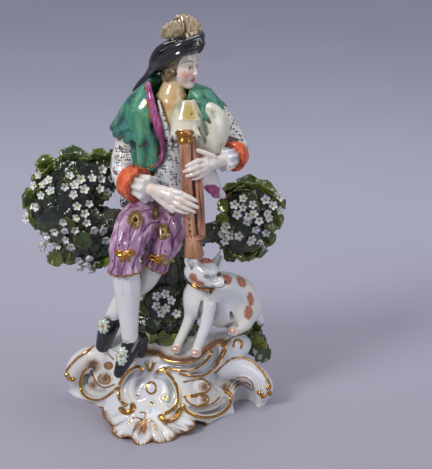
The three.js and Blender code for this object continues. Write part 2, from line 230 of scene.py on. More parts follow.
def surface_net(field):
    """Points, in cells, and quads of the surface where the field is zero."""
    inside = field < 0
    corners = [
        inside[i : field.shape[0] - 1 + i, j : field.shape[1] - 1 + j, k : field.shape[2] - 1 + k]
        for i, j, k in itertools.product((0, 1), repeat=3)
    ]
    active = np.logical_or.reduce(corners) & ~np.logical_and.reduce(corners)
    cells = np.argwhere(active)
    index = np.full(active.shape, -1, np.int32)
    index[active] = np.arange(len(cells))
    total = np.zeros((len(cells), 3))
    count = np.zeros(len(cells))
    for axis in range(3):
        step = np.eye(3, dtype=int)[axis]
        for offset in itertools.product((0, 1), repeat=3):
            if offset[axis]:
                continue
            start = cells + offset
            a = field[tuple(start.T)]
            b = field[tuple((start + step).T)]
            crossing = (a < 0) != (b < 0)
            share = a / np.where(crossing, a - b, 1)
            total[crossing] += np.array(offset) + share[crossing, None] * step
            count += crossing
    points = cells + total / count[:, None]
    quads = []
    for axis in range(3):
        u, v = [np.eye(3, dtype=int)[(axis + turn) % 3] for turn in (1, 2)]
        step = np.eye(3, dtype=int)[axis]
        ahead = np.roll(inside, -1, axis)
        edge = inside != ahead
        for other in ((axis + 1) % 3, (axis + 2) % 3):
            front = [slice(None)] * 3
            front[other] = slice(0, 1)
            edge[tuple(front)] = False
            back = [slice(None)] * 3
            back[other] = slice(-1, None)
            edge[tuple(back)] = False
        last = [slice(None)] * 3
        last[axis] = slice(-1, None)
        edge[tuple(last)] = False
        starts = np.argwhere(edge)
        ring = [index[tuple((starts - shift).T)] for shift in (u + v, v, 0 * u, u)]
        quad = np.stack(ring, axis=1)
        outwards = inside[tuple(starts.T)]
        quad[~outwards] = quad[~outwards][:, ::-1]
        quads.append(quad)
        del step
    return points, np.vstack(quads)


class Clay:
    """Sculpting clay: a grid of signed distances, with a named region for each shape that is added."""

    def __init__(self, low, high, voxel):
        self.low = np.array(low, float)
        self.voxel = voxel
        counts = np.ceil((np.array(high) - self.low) / voxel).astype(int) + 1
        self.field = np.full(counts, FAR, np.float32)
        self.shapes = []

    def window(self, low, high):
        start = np.clip(np.floor((low - self.low) / self.voxel).astype(int), 0, self.field.shape)
        stop = np.clip(np.ceil((high - self.low) / self.voxel).astype(int) + 1, 0, self.field.shape)
        axes = [self.low[a] + self.voxel * np.arange(start[a], stop[a]) for a in range(3)]
        places = np.stack(np.meshgrid(*axes, indexing="ij"), axis=-1)
        return tuple(slice(a, b) for a, b in zip(start, stop)), places

    def spread(self, shape, margin):
        """The shape's own distance on the part of the grid that it can change."""
        low = np.min([part[1] for part in shape], axis=0) - margin
        high = np.max([part[2] for part in shape], axis=0) + margin
        region, _ = self.window(low, high)
        origin = np.array([s.start for s in region])
        own = np.full([s.stop - s.start for s in region], FAR, np.float32)
        for distance, part_low, part_high in shape:
            inner, places = self.window(part_low - margin, part_high + margin)
            if places.size == 0:
                continue
            local = tuple(slice(s.start - o, s.stop - o) for s, o in zip(inner, origin))
            own[local] = np.minimum(own[local], distance(places))
        return region, own

    def add(self, shape, blend=0.0, region=None):
        where, own = self.spread(shape, blend + 3 * self.voxel)
        self.field[where] = soft_min(self.field[where], own, blend)
        if region:
            self.shapes.append((region, shape))

    def carve(self, shape, blend=0.0):
        where, own = self.spread(shape, blend + 3 * self.voxel)
        self.field[where] = -soft_min(-self.field[where], own, blend)

    def front(self, x, z, start=-60.0, side=1, sink=0.0):
        """The place where a line along y, from start and towards side, meets the surface at x and z."""
        rows = np.arange(0, 110, 0.25) * side + start
        rows = rows[(rows > self.low[1]) & (rows < self.low[1] + self.voxel * (self.field.shape[1] - 1))]
        line = np.stack([np.full_like(rows, x), rows, np.full_like(rows, z)], axis=1)
        inside = sample(self.field, self.low, self.voxel, line) < 0
        hit = rows[np.argmax(inside)] if inside.any() else rows[-1]
        return np.array((x, hit + side * sink, z))

    def seen(self, x, z, lift=0.0):
        """The surface point that the viewer sees through (x, 0, z), moved towards the viewer by lift."""
        through = np.array((x, 0.0, z))
        sight = unit(through - EYE)
        rows = through + sight * np.arange(-75, 60, 0.2)[:, None]
        high = self.low + self.voxel * (np.array(self.field.shape) - 1)
        rows = rows[np.all((rows > self.low) & (rows < high), axis=1)]
        inside = sample(self.field, self.low, self.voxel, rows) < 0
        hit = rows[np.argmax(inside)] if inside.any() else through
        return hit - sight * lift

    def roughen(self, low, high, change):
        """Adds change(places) to the distances in a box."""
        where, places = self.window(np.array(low, float), np.array(high, float))
        self.field[where] += change(places)

    def mesh(self, polish=2):
        points, quads = surface_net(self.field)
        points = self.low + self.voxel * points
        for _ in range(polish):
            slope = gradient(self.field, self.low, self.voxel, points)
            value = sample(self.field, self.low, self.voxel, points)
            steps = value / np.maximum((slope**2).sum(axis=1), 0.2)
            points -= np.clip(steps, -self.voxel, self.voxel)[:, None] * slope
        return points, quads

    def hollow(self, points, reach=1.6):
        """About 1 in tight hollows, 0 on flat places and below 0 on ridges."""
        slope = gradient(self.field, self.low, self.voxel, points)
        slope /= np.maximum(np.linalg.norm(slope, axis=1, keepdims=True), 1e-6)
        ahead = sample(self.field, self.low, self.voxel, points + reach * slope)
        return np.clip((reach - ahead) / reach, -1, 1)

    def regions(self, points):
        """For each region, how much nearer a point is to it than to any other, in mm."""
        names = sorted({region for region, _ in self.shapes})
        nearest = {name: np.full(len(points), FAR) for name in names}
        for region, shape in self.shapes:
            nearest[region] = np.minimum(nearest[region], shape_distance(shape, points))
        margins = {}
        for name in names:
            others = [nearest[other] for other in names if other != name]
            rest = np.min(others, axis=0) if others else np.full(len(points), FAR)
            margins[name] = np.clip(rest - nearest[name], -3, 3)
        return margins


# Blender meshes
def mesh_object(name, points, faces, marks=None, smooth=True):
    """A mesh piece from points in mm, with one vertex attribute for each entry of marks."""
    mesh = bpy.data.meshes.new(name)
    points = np.asarray(points, float) * MM
    faces = np.asarray(faces, np.int32)
    corners = faces.shape[1]
    mesh.vertices.add(len(points))
    mesh.vertices.foreach_set("co", points.astype(np.float32).ravel())
    mesh.loops.add(faces.size)
    mesh.loops.foreach_set("vertex_index", faces.ravel())
    mesh.polygons.add(len(faces))
    mesh.polygons.foreach_set("loop_start", np.arange(len(faces), dtype=np.int32) * corners)
    mesh.polygons.foreach_set("use_smooth", np.full(len(faces), smooth))
    mesh.update(calc_edges=True)
    mesh.validate()
    for key, values in (marks or {}).items():
        layer = mesh.attributes.new(key, "FLOAT", "POINT")
        layer.data.foreach_set("value", np.asarray(values, np.float32))
    piece = bpy.data.objects.new(name, mesh)
    bpy.context.scene.collection.objects.link(piece)
    return piece


def settle(piece, material):
    """Gives a piece its material and fixes it to the group's one body."""
    piece.data.materials.append(material)
    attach(piece, "root")
    return piece


def clay_object(name, clay, material, extra=None, place=None):
    """Meshes clay into a piece whose regions and hollows are vertex attributes."""
    points, quads = clay.mesh()
    # hollow and deep measure concavity; the materials use them to lay painted shade in the hollows
    marks = {"hollow": clay.hollow(points), "deep": clay.hollow(points, 5)}
    marks.update(clay.regions(points))
    if extra:
        marks.update(extra(points))
    if place:
        points = place(points)
    return settle(mesh_object(name, points, quads, marks), material)


# Painting: small building blocks for node materials
def enamel(code):
    """A colour from its sRGB hex code, as linear numbers."""
    values = [int(code[i : i + 2], 16) / 255 for i in (0, 2, 4)]
    return tuple(v / 12.92 if v <= 0.04045 else ((v + 0.055) / 1.055) ** 2.4 for v in values) + (1.0,)


class Paint:
    """A glazed material under construction."""

    def __init__(self, name, roughness=0.16, coat=0.5):
        self.material = bpy.data.materials.new(name)
        self.material.use_nodes = True
        self.nodes = self.material.node_tree.nodes
        self.links = self.material.node_tree.links
        self.shader = self.nodes["Principled BSDF"]
        self.shader.inputs["Roughness"].default_value = roughness
        self.shader.inputs["Coat Weight"].default_value = coat
        self.shader.inputs["Coat Roughness"].default_value = 0.06
        self.shader.inputs["IOR"].default_value = 1.52
        self.place = self.nodes.new("ShaderNodeTexCoord").outputs["Object"]

    def plug(self, value, socket):
        if isinstance(value, bpy.types.NodeSocket):
            self.links.new(value, socket)
        elif hasattr(socket.default_value, "__len__") and not hasattr(value, "__len__"):
            socket.default_value = [value] * len(socket.default_value)
        else:
            socket.default_value = value

    def maths(self, operation, a, b=0.0, clamp=False):
        node = self.nodes.new("ShaderNodeMath")
        node.operation = operation
        node.use_clamp = clamp
        self.plug(a, node.inputs[0])
        self.plug(b, node.inputs[1])
        return node.outputs[0]

    def mark(self, name):
        node = self.nodes.new("ShaderNodeAttribute")
        node.attribute_name = name
        return node.outputs["Fac"]

    def stretched(self, size, stretch, shift):
        node = self.nodes.new("ShaderNodeMapping")
        self.links.new(self.place, node.inputs["Vector"])
        node.inputs["Location"].default_value = (shift, shift * 0.7, shift * 1.3)
        node.inputs["Scale"].default_value = [1 / (MM * size * s) for s in stretch]
        return node.outputs["Vector"]

    def noise(self, size, detail=2.0, stretch=(1, 1, 1), shift=0.0, rough=0.5):
        node = self.nodes.new("ShaderNodeTexNoise")
        self.links.new(self.stretched(size, stretch, shift), node.inputs["Vector"])
        node.inputs["Scale"].default_value = 1.0
        node.inputs["Detail"].default_value = detail
        node.inputs["Roughness"].default_value = rough
        return node.outputs["Fac"]

    def cells(self, size, stretch=(1, 1, 1), shift=0.0, loose=1.0):
        node = self.nodes.new("ShaderNodeTexVoronoi")
        self.links.new(self.stretched(size, stretch, shift), node.inputs["Vector"])
        node.inputs["Scale"].default_value = 1.0
        node.inputs["Randomness"].default_value = loose
        return node.outputs["Distance"]

    def near(self, centre):
        """Distance to a point, in mm."""
        node = self.nodes.new("ShaderNodeVectorMath")
        node.operation = "DISTANCE"
        self.links.new(self.place, node.inputs[0])
        node.inputs[1].default_value = [c * MM for c in centre]
        return self.maths("MULTIPLY", node.outputs["Value"], 1 / MM)

    def rise(self, value, low, high):
        """0 below low and 1 above high, with a smooth change between."""
        node = self.nodes.new("ShaderNodeMapRange")
        node.interpolation_type = "SMOOTHSTEP"
        falling = low > high
        self.plug(value, node.inputs["Value"])
        node.inputs["From Min"].default_value = min(low, high)
        node.inputs["From Max"].default_value = max(low, high)
        node.inputs["To Min"].default_value = 1.0 if falling else 0.0
        node.inputs["To Max"].default_value = 0.0 if falling else 1.0
        return node.outputs["Result"]

    def both(self, a, b):
        return self.maths("MULTIPLY", a, b)

    def either(self, a, b):
        return self.maths("MAXIMUM", a, b)

    def without(self, a, b):
        return self.maths("MULTIPLY", a, self.maths("SUBTRACT", 1.0, b))

    def over(self, under, colour, mask, strength=1.0):
        """A colour laid over another where the mask is 1."""
        node = self.nodes.new("ShaderNodeMix")
        node.data_type = "RGBA"
        if strength != 1.0:
            mask = self.maths("MULTIPLY", mask, strength)
        self.plug(mask, node.inputs["Factor"])
        self.plug(under, node.inputs["A"])
        self.plug(colour, node.inputs["B"])
        return node.outputs["Result"]

    def blended(self, first, second, mask):
        return self.over(first, second, mask)

    def finish(self, colour, roughness=None, metallic=None, height=None, depth=0.1):
        self.links.new(colour, self.shader.inputs["Base Color"])
        if roughness is not None:
            self.links.new(roughness, self.shader.inputs["Roughness"])
        if metallic is not None:
            self.links.new(metallic, self.shader.inputs["Metallic"])
        if height is not None:
            bump = self.nodes.new("ShaderNodeBump")
            bump.inputs["Strength"].default_value = 0.5
            bump.inputs["Distance"].default_value = depth * MM
            self.links.new(height, bump.inputs["Height"])
            self.links.new(bump.outputs["Normal"], self.shader.inputs["Normal"])
        return self.material


WHITE = enamel("e4e6ea")
WHITE_WARM = enamel("e9e5dc")
SHADOW_GREY = enamel("a4aaac")
HOLLOW_SHADE_GREY = enamel("6f6a66")
GOLD = enamel("c28a34")
GOLD_DARK = enamel("6b3f14")


def porcelain_body(paint):
    """White glaze with faint warm and cool areas, and painted grey shade in the hollows."""
    drift = paint.noise(22, 2)
    white = paint.over(WHITE, WHITE_WARM, paint.rise(drift, 0.4, 0.65))
    # Painted shade: grey in the broad hollows and darker grey in the tight hollows
    white = paint.over(white, SHADOW_GREY, paint.rise(paint.mark("deep"), 0.15, 0.8), 0.55)
    return paint.over(white, HOLLOW_SHADE_GREY, paint.rise(paint.mark("hollow"), 0.15, 0.75), 0.7)


def glaze_height(paint):
    """The slight unevenness of a fired glaze."""
    return paint.noise(3.5, 2)


# Base
FOOTPRINT = [
    (-8, -48), (20, -37), (30, -20), (44, -6), (61, 4), (63, 18), (48, 36), (18, 45),
    (-14, 46), (-42, 40), (-58, 31), (-54, 19), (-38, 5), (-34, -14), (-27, -36),
]
PLATFORM = [
    (2, -16), (16, -21), (25, -12), (31, 0), (38, 10), (38, 20), (32, 31), (14, 38),
    (-12, 38), (-29, 33), (-35, 26), (-36, 14), (-32, 2), (-25, -8), (-12, -14),
]


def loop_points(points, count=240):
    """A closed uniform Catmull-Rom curve, sampled evenly in its own parameter."""
    rows = np.array(points, float)
    out = []
    for k in range(count):
        s = k / count * len(rows)
        i, f = int(s), s - int(s)
        a, b, c, d = (rows[(i + j) % len(rows)] for j in (-1, 0, 1, 2))
        out.append(0.5 * (2 * b + (c - a) * f + (2 * a - 5 * b + 4 * c - d) * f**2 + (3 * b - a - 3 * c + d) * f**3))
    return np.array(out)


FOOT_LOOP = loop_points(FOOTPRINT)
PLATFORM_LOOP = loop_points(PLATFORM)


def apron_loop(z):
    share = 1 - (1 - np.clip(z / BASE_TOP, 0, 1)) ** FLARE
    return FOOT_LOOP + (PLATFORM_LOOP - FOOT_LOOP) * share


# The viewer's picture: an x and z on the plane y = 0 stand for the whole line of sight through them
def as_seen(points):
    """Where the lines of sight to points cross the plane y = 0."""
    share = EYE[1] / (EYE[1] - points[:, 1:2])
    return (EYE + share * (points - EYE)) * (1, 0, 1)


def drawn_distance(line, seen, reach=8.0, closed=False):
    """Distance, in the viewer's picture, to a smooth line through points of x and z."""
    path = smooth_path([(x, 0, z) for x, z in line], 1.0, closed)
    return line_distance(np.vstack([path, path[:1]]) if closed else path, seen, reach)


def drawn_roll(clay, line, radius, lift=0.0, taper=0.5, closed=False):
    """Stations of a roll that lies on clay along a drawn line, thinner towards both ends."""
    path = smooth_path([(x, 0, z) for x, z in line], 2.0, closed)
    places = np.array([clay.seen(x, z, lift) for x, _, z in path])
    for _ in range(2):
        places[1:-1] = 0.25 * places[:-2] + 0.5 * places[1:-1] + 0.25 * places[2:]
    swell = np.ones(len(path)) if closed else np.sin(math.pi * np.linspace(0.08, 0.92, len(path)))
    return [(*place, radius * (taper + (1 - taper) * share)) for place, share in zip(places, swell)]


# Ornament of the base, drawn in the viewer's picture
RIM_LINE = [
    (-15, 33), (-11.6, 34.8), (-7.3, 35.7), (-0.5, 34.9), (3.7, 31.8), (8.8, 30.5), (14.7, 29.9), (20.7, 31.1),
    (24.9, 34.2), (28.3, 38), (32.2, 40.7), (36, 42.7), (39.4, 41.6),
]
RIM_LEFT = [(-32.2, 39.4), (-30.6, 36.2), (-27.3, 32.5)]
FROND_UPPER = [
    (-0.6, 25.1), (3.2, 26.7), (8.7, 25.8), (14.7, 25), (20.7, 26.1), (25.8, 29.3), (29.2, 33.4), (31.1, 37.5), (29.9, 39.4),
]
FROND_LOWER = [
    (12.1, 23.3), (15.5, 22.2), (21.5, 21.5), (27.5, 22.8), (32.6, 27), (36, 31.6), (38.5, 35.7), (39.4, 39.4), (37.2, 41.6),
]
FROND_INNER = [(33.4, 30.5), (35.8, 34.3), (37.7, 38.5)]
LOBE_UPPER = [
    (14.2, 17.8), (20.6, 19.1), (25.7, 19.6), (29.6, 16.8), (29.8, 14), (28.3, 11.4), (24.4, 10.5), (19.7, 9.4), (15.4, 8.5),
]
LOBE_LOWER = [(17.1, 8), (22.3, 8.5), (25.7, 9.8), (28.3, 8.5), (29.1, 6.1), (27.8, 3.8), (23.6, 2.7)]
LOBES = [((21.9, 14.5), (8.6, 4.6), 2.6), ((23.4, 6), (6.2, 3.2), 1.8)]
LOBE_TIPS = [((27.2, 15), 4.2), ((26.8, 6.4), 3.0)]
LEAF_LINE = [(14.6, 8.5), (17.1, 4.7), (22.3, 1.9), (28.3, 2.4), (32.6, 4.7), (35.6, 7.7)]
SCROLL_RIGHT = [
    (14.1, 2.8), (15.8, -0.9), (20.5, -3.9), (26.5, -5.4), (32.6, -4.7), (37.7, -2), (41.2, 1.9), (42.7, 6.6), (42, 10.3),
    (39.4, 11.4),
]
WHITE_LEAF = [(22, -1.8), (31.7, 0.6), (38.2, 5.4)]
CARTOUCHE_LEFT = [
    (-10.2, 25), (-11.3, 27), (-13.4, 27.7), (-16.8, 26.1), (-20.3, 22.8), (-23.4, 17.8), (-24.8, 12.6), (-24.4, 7.5),
    (-22.4, 4.2), (-20.3, 2.8),
]
CURL_LEFT = [(-23.5, 0.2), (-21.2, -2), (-18.2, -1.7), (-16, 1), (-16.6, 2.8)]
CARTOUCHE_RIGHT = [
    (-1.5, 24.2), (0.2, 25.3), (3.6, 24.2), (7.4, 20.1), (10.3, 14), (11.1, 8.5), (9.8, 3.3), (6.8, -0.4), (2.9, -2.8),
]
CURL_RIGHT = [(0.5, -4.7), (2.4, -7.3), (5.8, -7.5), (9.3, -5.2), (11.5, -1.4), (11.8, 1)]
CLASP = [(-8.2, 30.5), (-5.9, 25), (-3.1, 30.5)]
CABOCHON = ((-5.2, 14), (2.9, 3.7))
MOTIFS = [((-13.3, 9.4), 1.5), ((3, 7.3), 1.8), ((-5.2, 4.2), 1.5), ((-7.4, -0.7), 1.3)]
SPRAY = [
    [(-10.5, -6.6), (-15.7, -5.6), (-19.2, -9.4)], [(-10.3, -7), (-14.5, -9), (-16.7, -13.2)],
    [(-9.8, -7), (-12.5, -12), (-13.7, -16.5)], [(-9.4, -7), (-10, -11.5), (-10, -15.5)],
    [(-8.8, -6.6), (-4.5, -8.4), (-2.9, -14.1)], [(-9.8, -6), (-9.2, -2.4), (-12, -2)],
]
SHELL_HINGE = (-7.7, 0)
SHELL_HEM = [
    (-34.9, 1.9), (-34.2, -4.7), (-30.8, -9.4), (-28.8, -12.2), (-29.5, -15.6), (-24.6, -18.9), (-18.5, -18.4), (-15.1, -23.2),
    (-10.8, -24.6), (-5.6, -21), (-0.4, -22.7), (5.7, -21.7), (10.9, -16.8), (17, -14.6), (21.3, -10.3), (20.5, -7),
]
SHELL_NOTCHES = (-60, -30, 6, 48)  # degrees round the hinge, from straight down
SCROLL_LEFT = [
    (-43.6, 26.3), (-45.8, 23.8), (-47.5, 19.1), (-47.8, 15), (-46.2, 10.3), (-42.5, 7), (-37.3, 6.1), (-32.6, 8),
    (-28.6, 11.2), (-25.6, 14),
]
INNER_LEFT = [(-41.1, 25.1), (-39.5, 21), (-37.3, 16.8), (-34.1, 14.5), (-30.3, 14.8), (-27.3, 16.4)]
SPIRAL_LEFT = [(-35.2, 22.8), (-36.6, 20.1), (-35.3, 17.3), (-31.9, 16.8), (-29.7, 19.1), (-30.5, 21.9)]
LEG_LEFT = [(-39, 40.7), (-42.9, 37.5), (-49, 33), (-52.9, 28.8), (-55.6, 25.1)]
KNOBS_LEFT = [((-55.4, 22.4), 1.7), ((-54, 20), 1.5), ((-51.9, 19.6), 1.5)]
LEG_RIGHT = [(33.4, 23.8), (38.5, 29.3), (43.6, 33), (49.6, 33.6), (55.5, 30.5), (60.7, 25.6), (64.2, 20.1), (66.3, 15)]
LEG_SHADE = [(58.2, 27.4), (62, 22.4), (65, 16)]
KNOBS_RIGHT = [((60, 10.8), 1.9), ((61.9, 8.6), 1.6), ((65, 14), 1.7), ((65.6, 10.4), 1.7)]
ARCH_OUTER = [(40.7, 12.6), (43.3, 17.8), (47.5, 21), (52.2, 20.3), (55.2, 17.3), (56.1, 13.1)]
ARCH_INNER = [(44.7, 13.1), (47.5, 16.6), (51.4, 17.6), (54.4, 15.4)]
RING_BACK = [(44, 40.7), (44.9, 43.9), (47.4, 44.6), (49.1, 42.6), (48.3, 39.8)]
GROUND_RIGHT = [(40.6, 44.4), (44, 46.9), (49.5, 48.7)]
# Rolls as line and radius, and hollows as line, radius and depth
ROLLS = [
    (FROND_UPPER, 1.5), (FROND_LOWER, 1.7), (LEAF_LINE, 0.9), (SCROLL_RIGHT, 1.9), (CARTOUCHE_LEFT, 1.9),
    (CARTOUCHE_RIGHT, 1.9), (SCROLL_LEFT, 1.7), (INNER_LEFT, 1.1), (SPIRAL_LEFT, 1.2), (LEG_RIGHT, 1.0), (LEG_LEFT, 1.2),
    (ARCH_OUTER, 1.0), (RING_BACK, 1.2),
]
HOLLOWS = [
    ([(19, 0.5), (25, -1.8), (31.5, -1.2), (37, 2), (39.3, 6.5)], 3.0, 2.6),
    ([(-44, 21.5), (-45, 16), (-42.5, 11.5), (-38, 9.8), (-33, 11.4)], 2.8, 2.4),
    ([(-33.5, 19), (-32, 20.6)], 2.8, 1.6), ([(-40.5, 28.5), (-37.5, 29)], 2.4, 1.2),
    ([(-12, 24), (-17.5, 22.5), (-21, 17), (-21.8, 11), (-19, 5.4)], 2.6, 1.9),
    ([(-2.5, 21.8), (3.2, 20.6), (6.8, 15.5), (7.8, 9), (5.6, 3)], 2.6, 1.9),
    ([(-1, 29.5), (6, 28.8), (14, 27.8), (22, 29), (27, 33)], 1.8, 1.0),
    ([(16, 23.8), (23, 23.8), (29, 27.5), (32.4, 33), (34, 38)], 2.0, 1.5),
    ([(32, 24), (33.5, 17), (36.5, 13)], 3.2, 1.2),
]
GILT_LINES = [
    (FROND_UPPER, 0.75), (FROND_LOWER, 0.75), (FROND_INNER, 0.6), (LOBE_UPPER, 0.5), (LOBE_LOWER, 0.55), (LEAF_LINE, 0.5),
    (SCROLL_RIGHT, 0.95), (CARTOUCHE_LEFT, 0.95), (CARTOUCHE_RIGHT, 0.95), (CURL_LEFT, 1.7), (CURL_RIGHT, 1.7), (CLASP, 0.8),
    (SCROLL_LEFT, 0.8), (INNER_LEFT, 0.45), (SPIRAL_LEFT, 0.5), (RIM_LINE, 0.45), (RIM_LEFT, 0.45), (LEG_LEFT, 0.65),
    (LEG_RIGHT, 0.6), (ARCH_OUTER, 0.4), (ARCH_INNER, 0.4), (RING_BACK, 0.7), (GROUND_RIGHT, 0.4),
]
BROWN_LINES = [(LEG_SHADE, 2.2), (LEG_LEFT, 1.7), (SCROLL_RIGHT, 1.9), (SCROLL_LEFT, 2.0), (FROND_UPPER, 1.5), (FROND_LOWER, 1.4),
               (CARTOUCHE_LEFT, 1.6), (CARTOUCHE_RIGHT, 1.5), (INNER_LEFT, 1.4)]
BROWN_SPOTS = [((-39.6, 28.4), 4.6), ((-32.6, 20), 4.0), ((-40, 16), 3.4), ((39, 14.5), 3.2), ((-10, -12), 4.6), *LOBE_TIPS]
GILT_SPOTS = [((-30.4, 28.4), 2.7), *KNOBS_LEFT, *KNOBS_RIGHT]
RIM_BAND = 4.2  # height of the brown band over the platform's edge
HEM_BAND = 7.0
BASE_BACK = 24.0  # y behind which the base is left white


def shell_polar(seen):
    """Angle from straight down, in degrees, and distance from the shell's hinge, in the viewer's picture."""
    x, z = seen[..., 0] - SHELL_HINGE[0], seen[..., 2] - SHELL_HINGE[1]
    return np.degrees(np.arctan2(x, -z)), np.hypot(x, z)


def hem_depth(seen):
    """How far, in mm, a place in the picture is inside the shell's hem; far outside the shell's angles it is FAR."""
    hem = smooth_path([(x, 0, z) for x, z in SHELL_HEM], 0.8)
    hem_angle, hem_reach = shell_polar(hem)
    angle, reach = shell_polar(seen)
    order = np.argsort(hem_angle)
    depth = np.interp(angle, hem_angle[order], hem_reach[order]) - reach
    return np.where((angle < hem_angle.min()) | (angle > hem_angle.max()), FAR, depth)


def shell_relief(places):
    """Flutes, and grooves between the lobes, that deepen from the hinge to the hem."""
    seen = as_seen(places.reshape(-1, 3))
    angle, reach = shell_polar(seen)
    grown = np.clip((reach - 7) / 12, 0, 1)
    change = 0.28 * np.cos(np.radians(60 * angle)) * grown
    for notch in SHELL_NOTCHES:
        change = change + 1.5 * grown * np.exp(-(((angle - notch) / 4.5) ** 2))
        change = change - 0.5 * grown * np.exp(-(((angle - notch - 17) / 8) ** 2))
    change = np.where((np.abs(angle + 10) < 92) & (seen[:, 2] < 3), change, 0)
    cut = np.where(places.reshape(-1, 3)[:, 1] < 2, -hem_depth(seen) - 0.3, -FAR)
    return change.reshape(places.shape[:-1]), cut.reshape(places.shape[:-1])


def apron_distance(p):
    """Signed distance to the swept apron, from a table of its radius by height and angle."""
    levels = np.linspace(0, BASE_TOP, 61)
    angles = np.linspace(-math.pi, math.pi, 361)
    rows = []
    for z in levels:
        loop = apron_loop(z) - (0, BASE_MIDDLE)
        turn = np.arctan2(loop[:, 1], loop[:, 0])
        order = np.argsort(turn)
        rows.append(np.interp(angles, turn[order], np.hypot(*loop.T)[order], period=2 * math.pi))
    table = np.array(rows)
    by_angle = np.gradient(table, angles, axis=1) / table
    by_level = np.gradient(table, levels, axis=0)
    steep = 1 / np.sqrt(1 + by_angle**2 + by_level**2)
    x, y, z = p[..., 0], p[..., 1] - BASE_MIDDLE, p[..., 2]
    column = (np.arctan2(y, x) + math.pi) / (2 * math.pi) * 360
    row = np.clip(z, 0, BASE_TOP) / BASE_TOP * 60
    i, j = np.minimum(row.astype(int), 59), np.minimum(column.astype(int), 359)
    f, g = row - i, column - j
    radius = (
        table[i, j] * (1 - f) * (1 - g) + table[i + 1, j] * f * (1 - g)
        + table[i, j + 1] * (1 - f) * g + table[i + 1, j + 1] * f * g
    )
    side = (np.hypot(x, y) - radius) * steep[i, j]
    return np.maximum(side, z - BASE_TOP)


def base_body(clay):
    """The apron with its legs, ground, shell and hollows, before any raised ornament."""
    clay.add([(apron_distance, np.array([-65, -49, -1]), np.array([73, 47, 42]))])
    for leg in BASE_LEGS:
        clay.add(tube(leg), 3.5)
    for x, y in ((-30, 36), (34, 34)):
        clay.add(ball((x, y, 3), (13, 8, 12)), 8)
    clay.add(ball((3, 13, 38), (34, 22, 9)), 4)
    clay.add(ball((42, 12, 37), (13, 11, 8)), 5)
    for tip in SHELL_TIPS:
        clay.add(tube([(-5.5, -22, 13, 3), (*(np.array(tip) * 0.5 + np.array((-5.5, -22, 11)) * 0.5), 4.4), (*tip, 4.6)]), 3)
    for line, radius, depth in HOLLOWS:
        clay.carve(tube(drawn_roll(clay, line, radius, radius - depth)), 0.9)
    for centre, radii, thick in LOBES:
        clay.add(ball(clay.seen(*centre, -0.6), (radii[0], thick, radii[1]), (-25, 0, 0)), 1.2)
    # Arches under the legs and at the back, and the shell's flutes and hem
    clay.carve(ball((50.5, 3, 2), (7.5, 11, 11)), 1.5)
    clay.carve(ball((0, 48, 0), (17, 10, 9)), 2)
    where, places = clay.window(np.array([-45.0, -50, -1.3]), np.array([27.0, 4, 16]))
    change, cut = shell_relief(places)
    clay.field[where] = -soft_min(-(clay.field[where] + change), -cut, 1.2)


BASE_LEGS = [
    [(36, 4, 26, 8), (47, 6, 25, 7.5), (57, 6, 19, 7), (62, 6, 12, 6.2), (60, 9, 4, 5.2)],
    [(-36, 15, 29, 6), (-46, 18, 25.5, 6.4), (-52.6, 20, 17, 6), (-52, 25, 5, 5)],
]
SHELL_TIPS = [(-32, -9, 2), (-26, -29, 2.2), (-13.5, -42, 1.6), (-3, -42, 1.6), (8, -38, 1.6), (18, -31, 3.6)]


def base_clay():
    clay = Clay((-66, -50, -1.2), (74, 48, 56), 0.62)
    base_body(clay)
    rolls = [tube(drawn_roll(clay, line, radius, 0.2)) for line, radius in ROLLS]
    rolls += [tube(drawn_roll(clay, line, 1.9, 0.5, 0.7)) for line in (CURL_LEFT, CURL_RIGHT)]
    rolls.append(tube(drawn_roll(clay, WHITE_LEAF, 1.7, -0.6, 0.3)))
    rolls.append(tube(drawn_roll(clay, RIM_LINE, 1.2, 0, 0.8)))
    rolls += [tube(drawn_roll(clay, line, 0.95, 0.4, 0.7)) for line in SPRAY]
    rolls += [tube([(*clay.seen(x, z, 0.4), 0.8), (*clay.seen(-5.9, 24.6, 0.4), 0.9)]) for x, z in (*CLASP, (-5.7, 31.5))]
    # Domed middle of the cartouche with its cabochon, small flowers and gilt knobs
    rolls.append(ball(clay.seen(-6, 11, -1.2), (8.6, 2.4, 9), (-25, 0, 0)))
    for roll in rolls:
        clay.add(roll, 0.7)
    (x, z), (wide, high) = CABOCHON
    clay.add(ball(clay.seen(x, z, -0.3), (wide - 0.6, 1.5, high - 0.6), (-25, 0, 0)), 0.3)
    ring = [(x + wide * math.cos(t), z + high * math.sin(t)) for t in np.linspace(0, 2 * math.pi, 12, endpoint=False)]
    clay.add(tube(drawn_roll(clay, ring, 0.7, 0.1, closed=True), closed=True), 0.3)
    for (x, z), size in MOTIFS:
        for k in range(5):
            angle = 2 * math.pi * k / 5 + x
            clay.add(ball(clay.seen(x + size * math.cos(angle), z + size * math.sin(angle), 0.2), 0.62 * size), 0.2)
        clay.add(ball(clay.seen(x, z, 0.5), 0.5 * size), 0.1)
    for (x, z), size in KNOBS_LEFT + KNOBS_RIGHT:
        clay.add(ball(clay.seen(x, z, 0.2), size), 0.3)
    # Flat underside
    where, places = clay.window(np.array([-70.0, -50, -1.3]), np.array([78.0, 50, 3]))
    clay.field[where] = np.maximum(clay.field[where], -places[..., 2])
    return clay


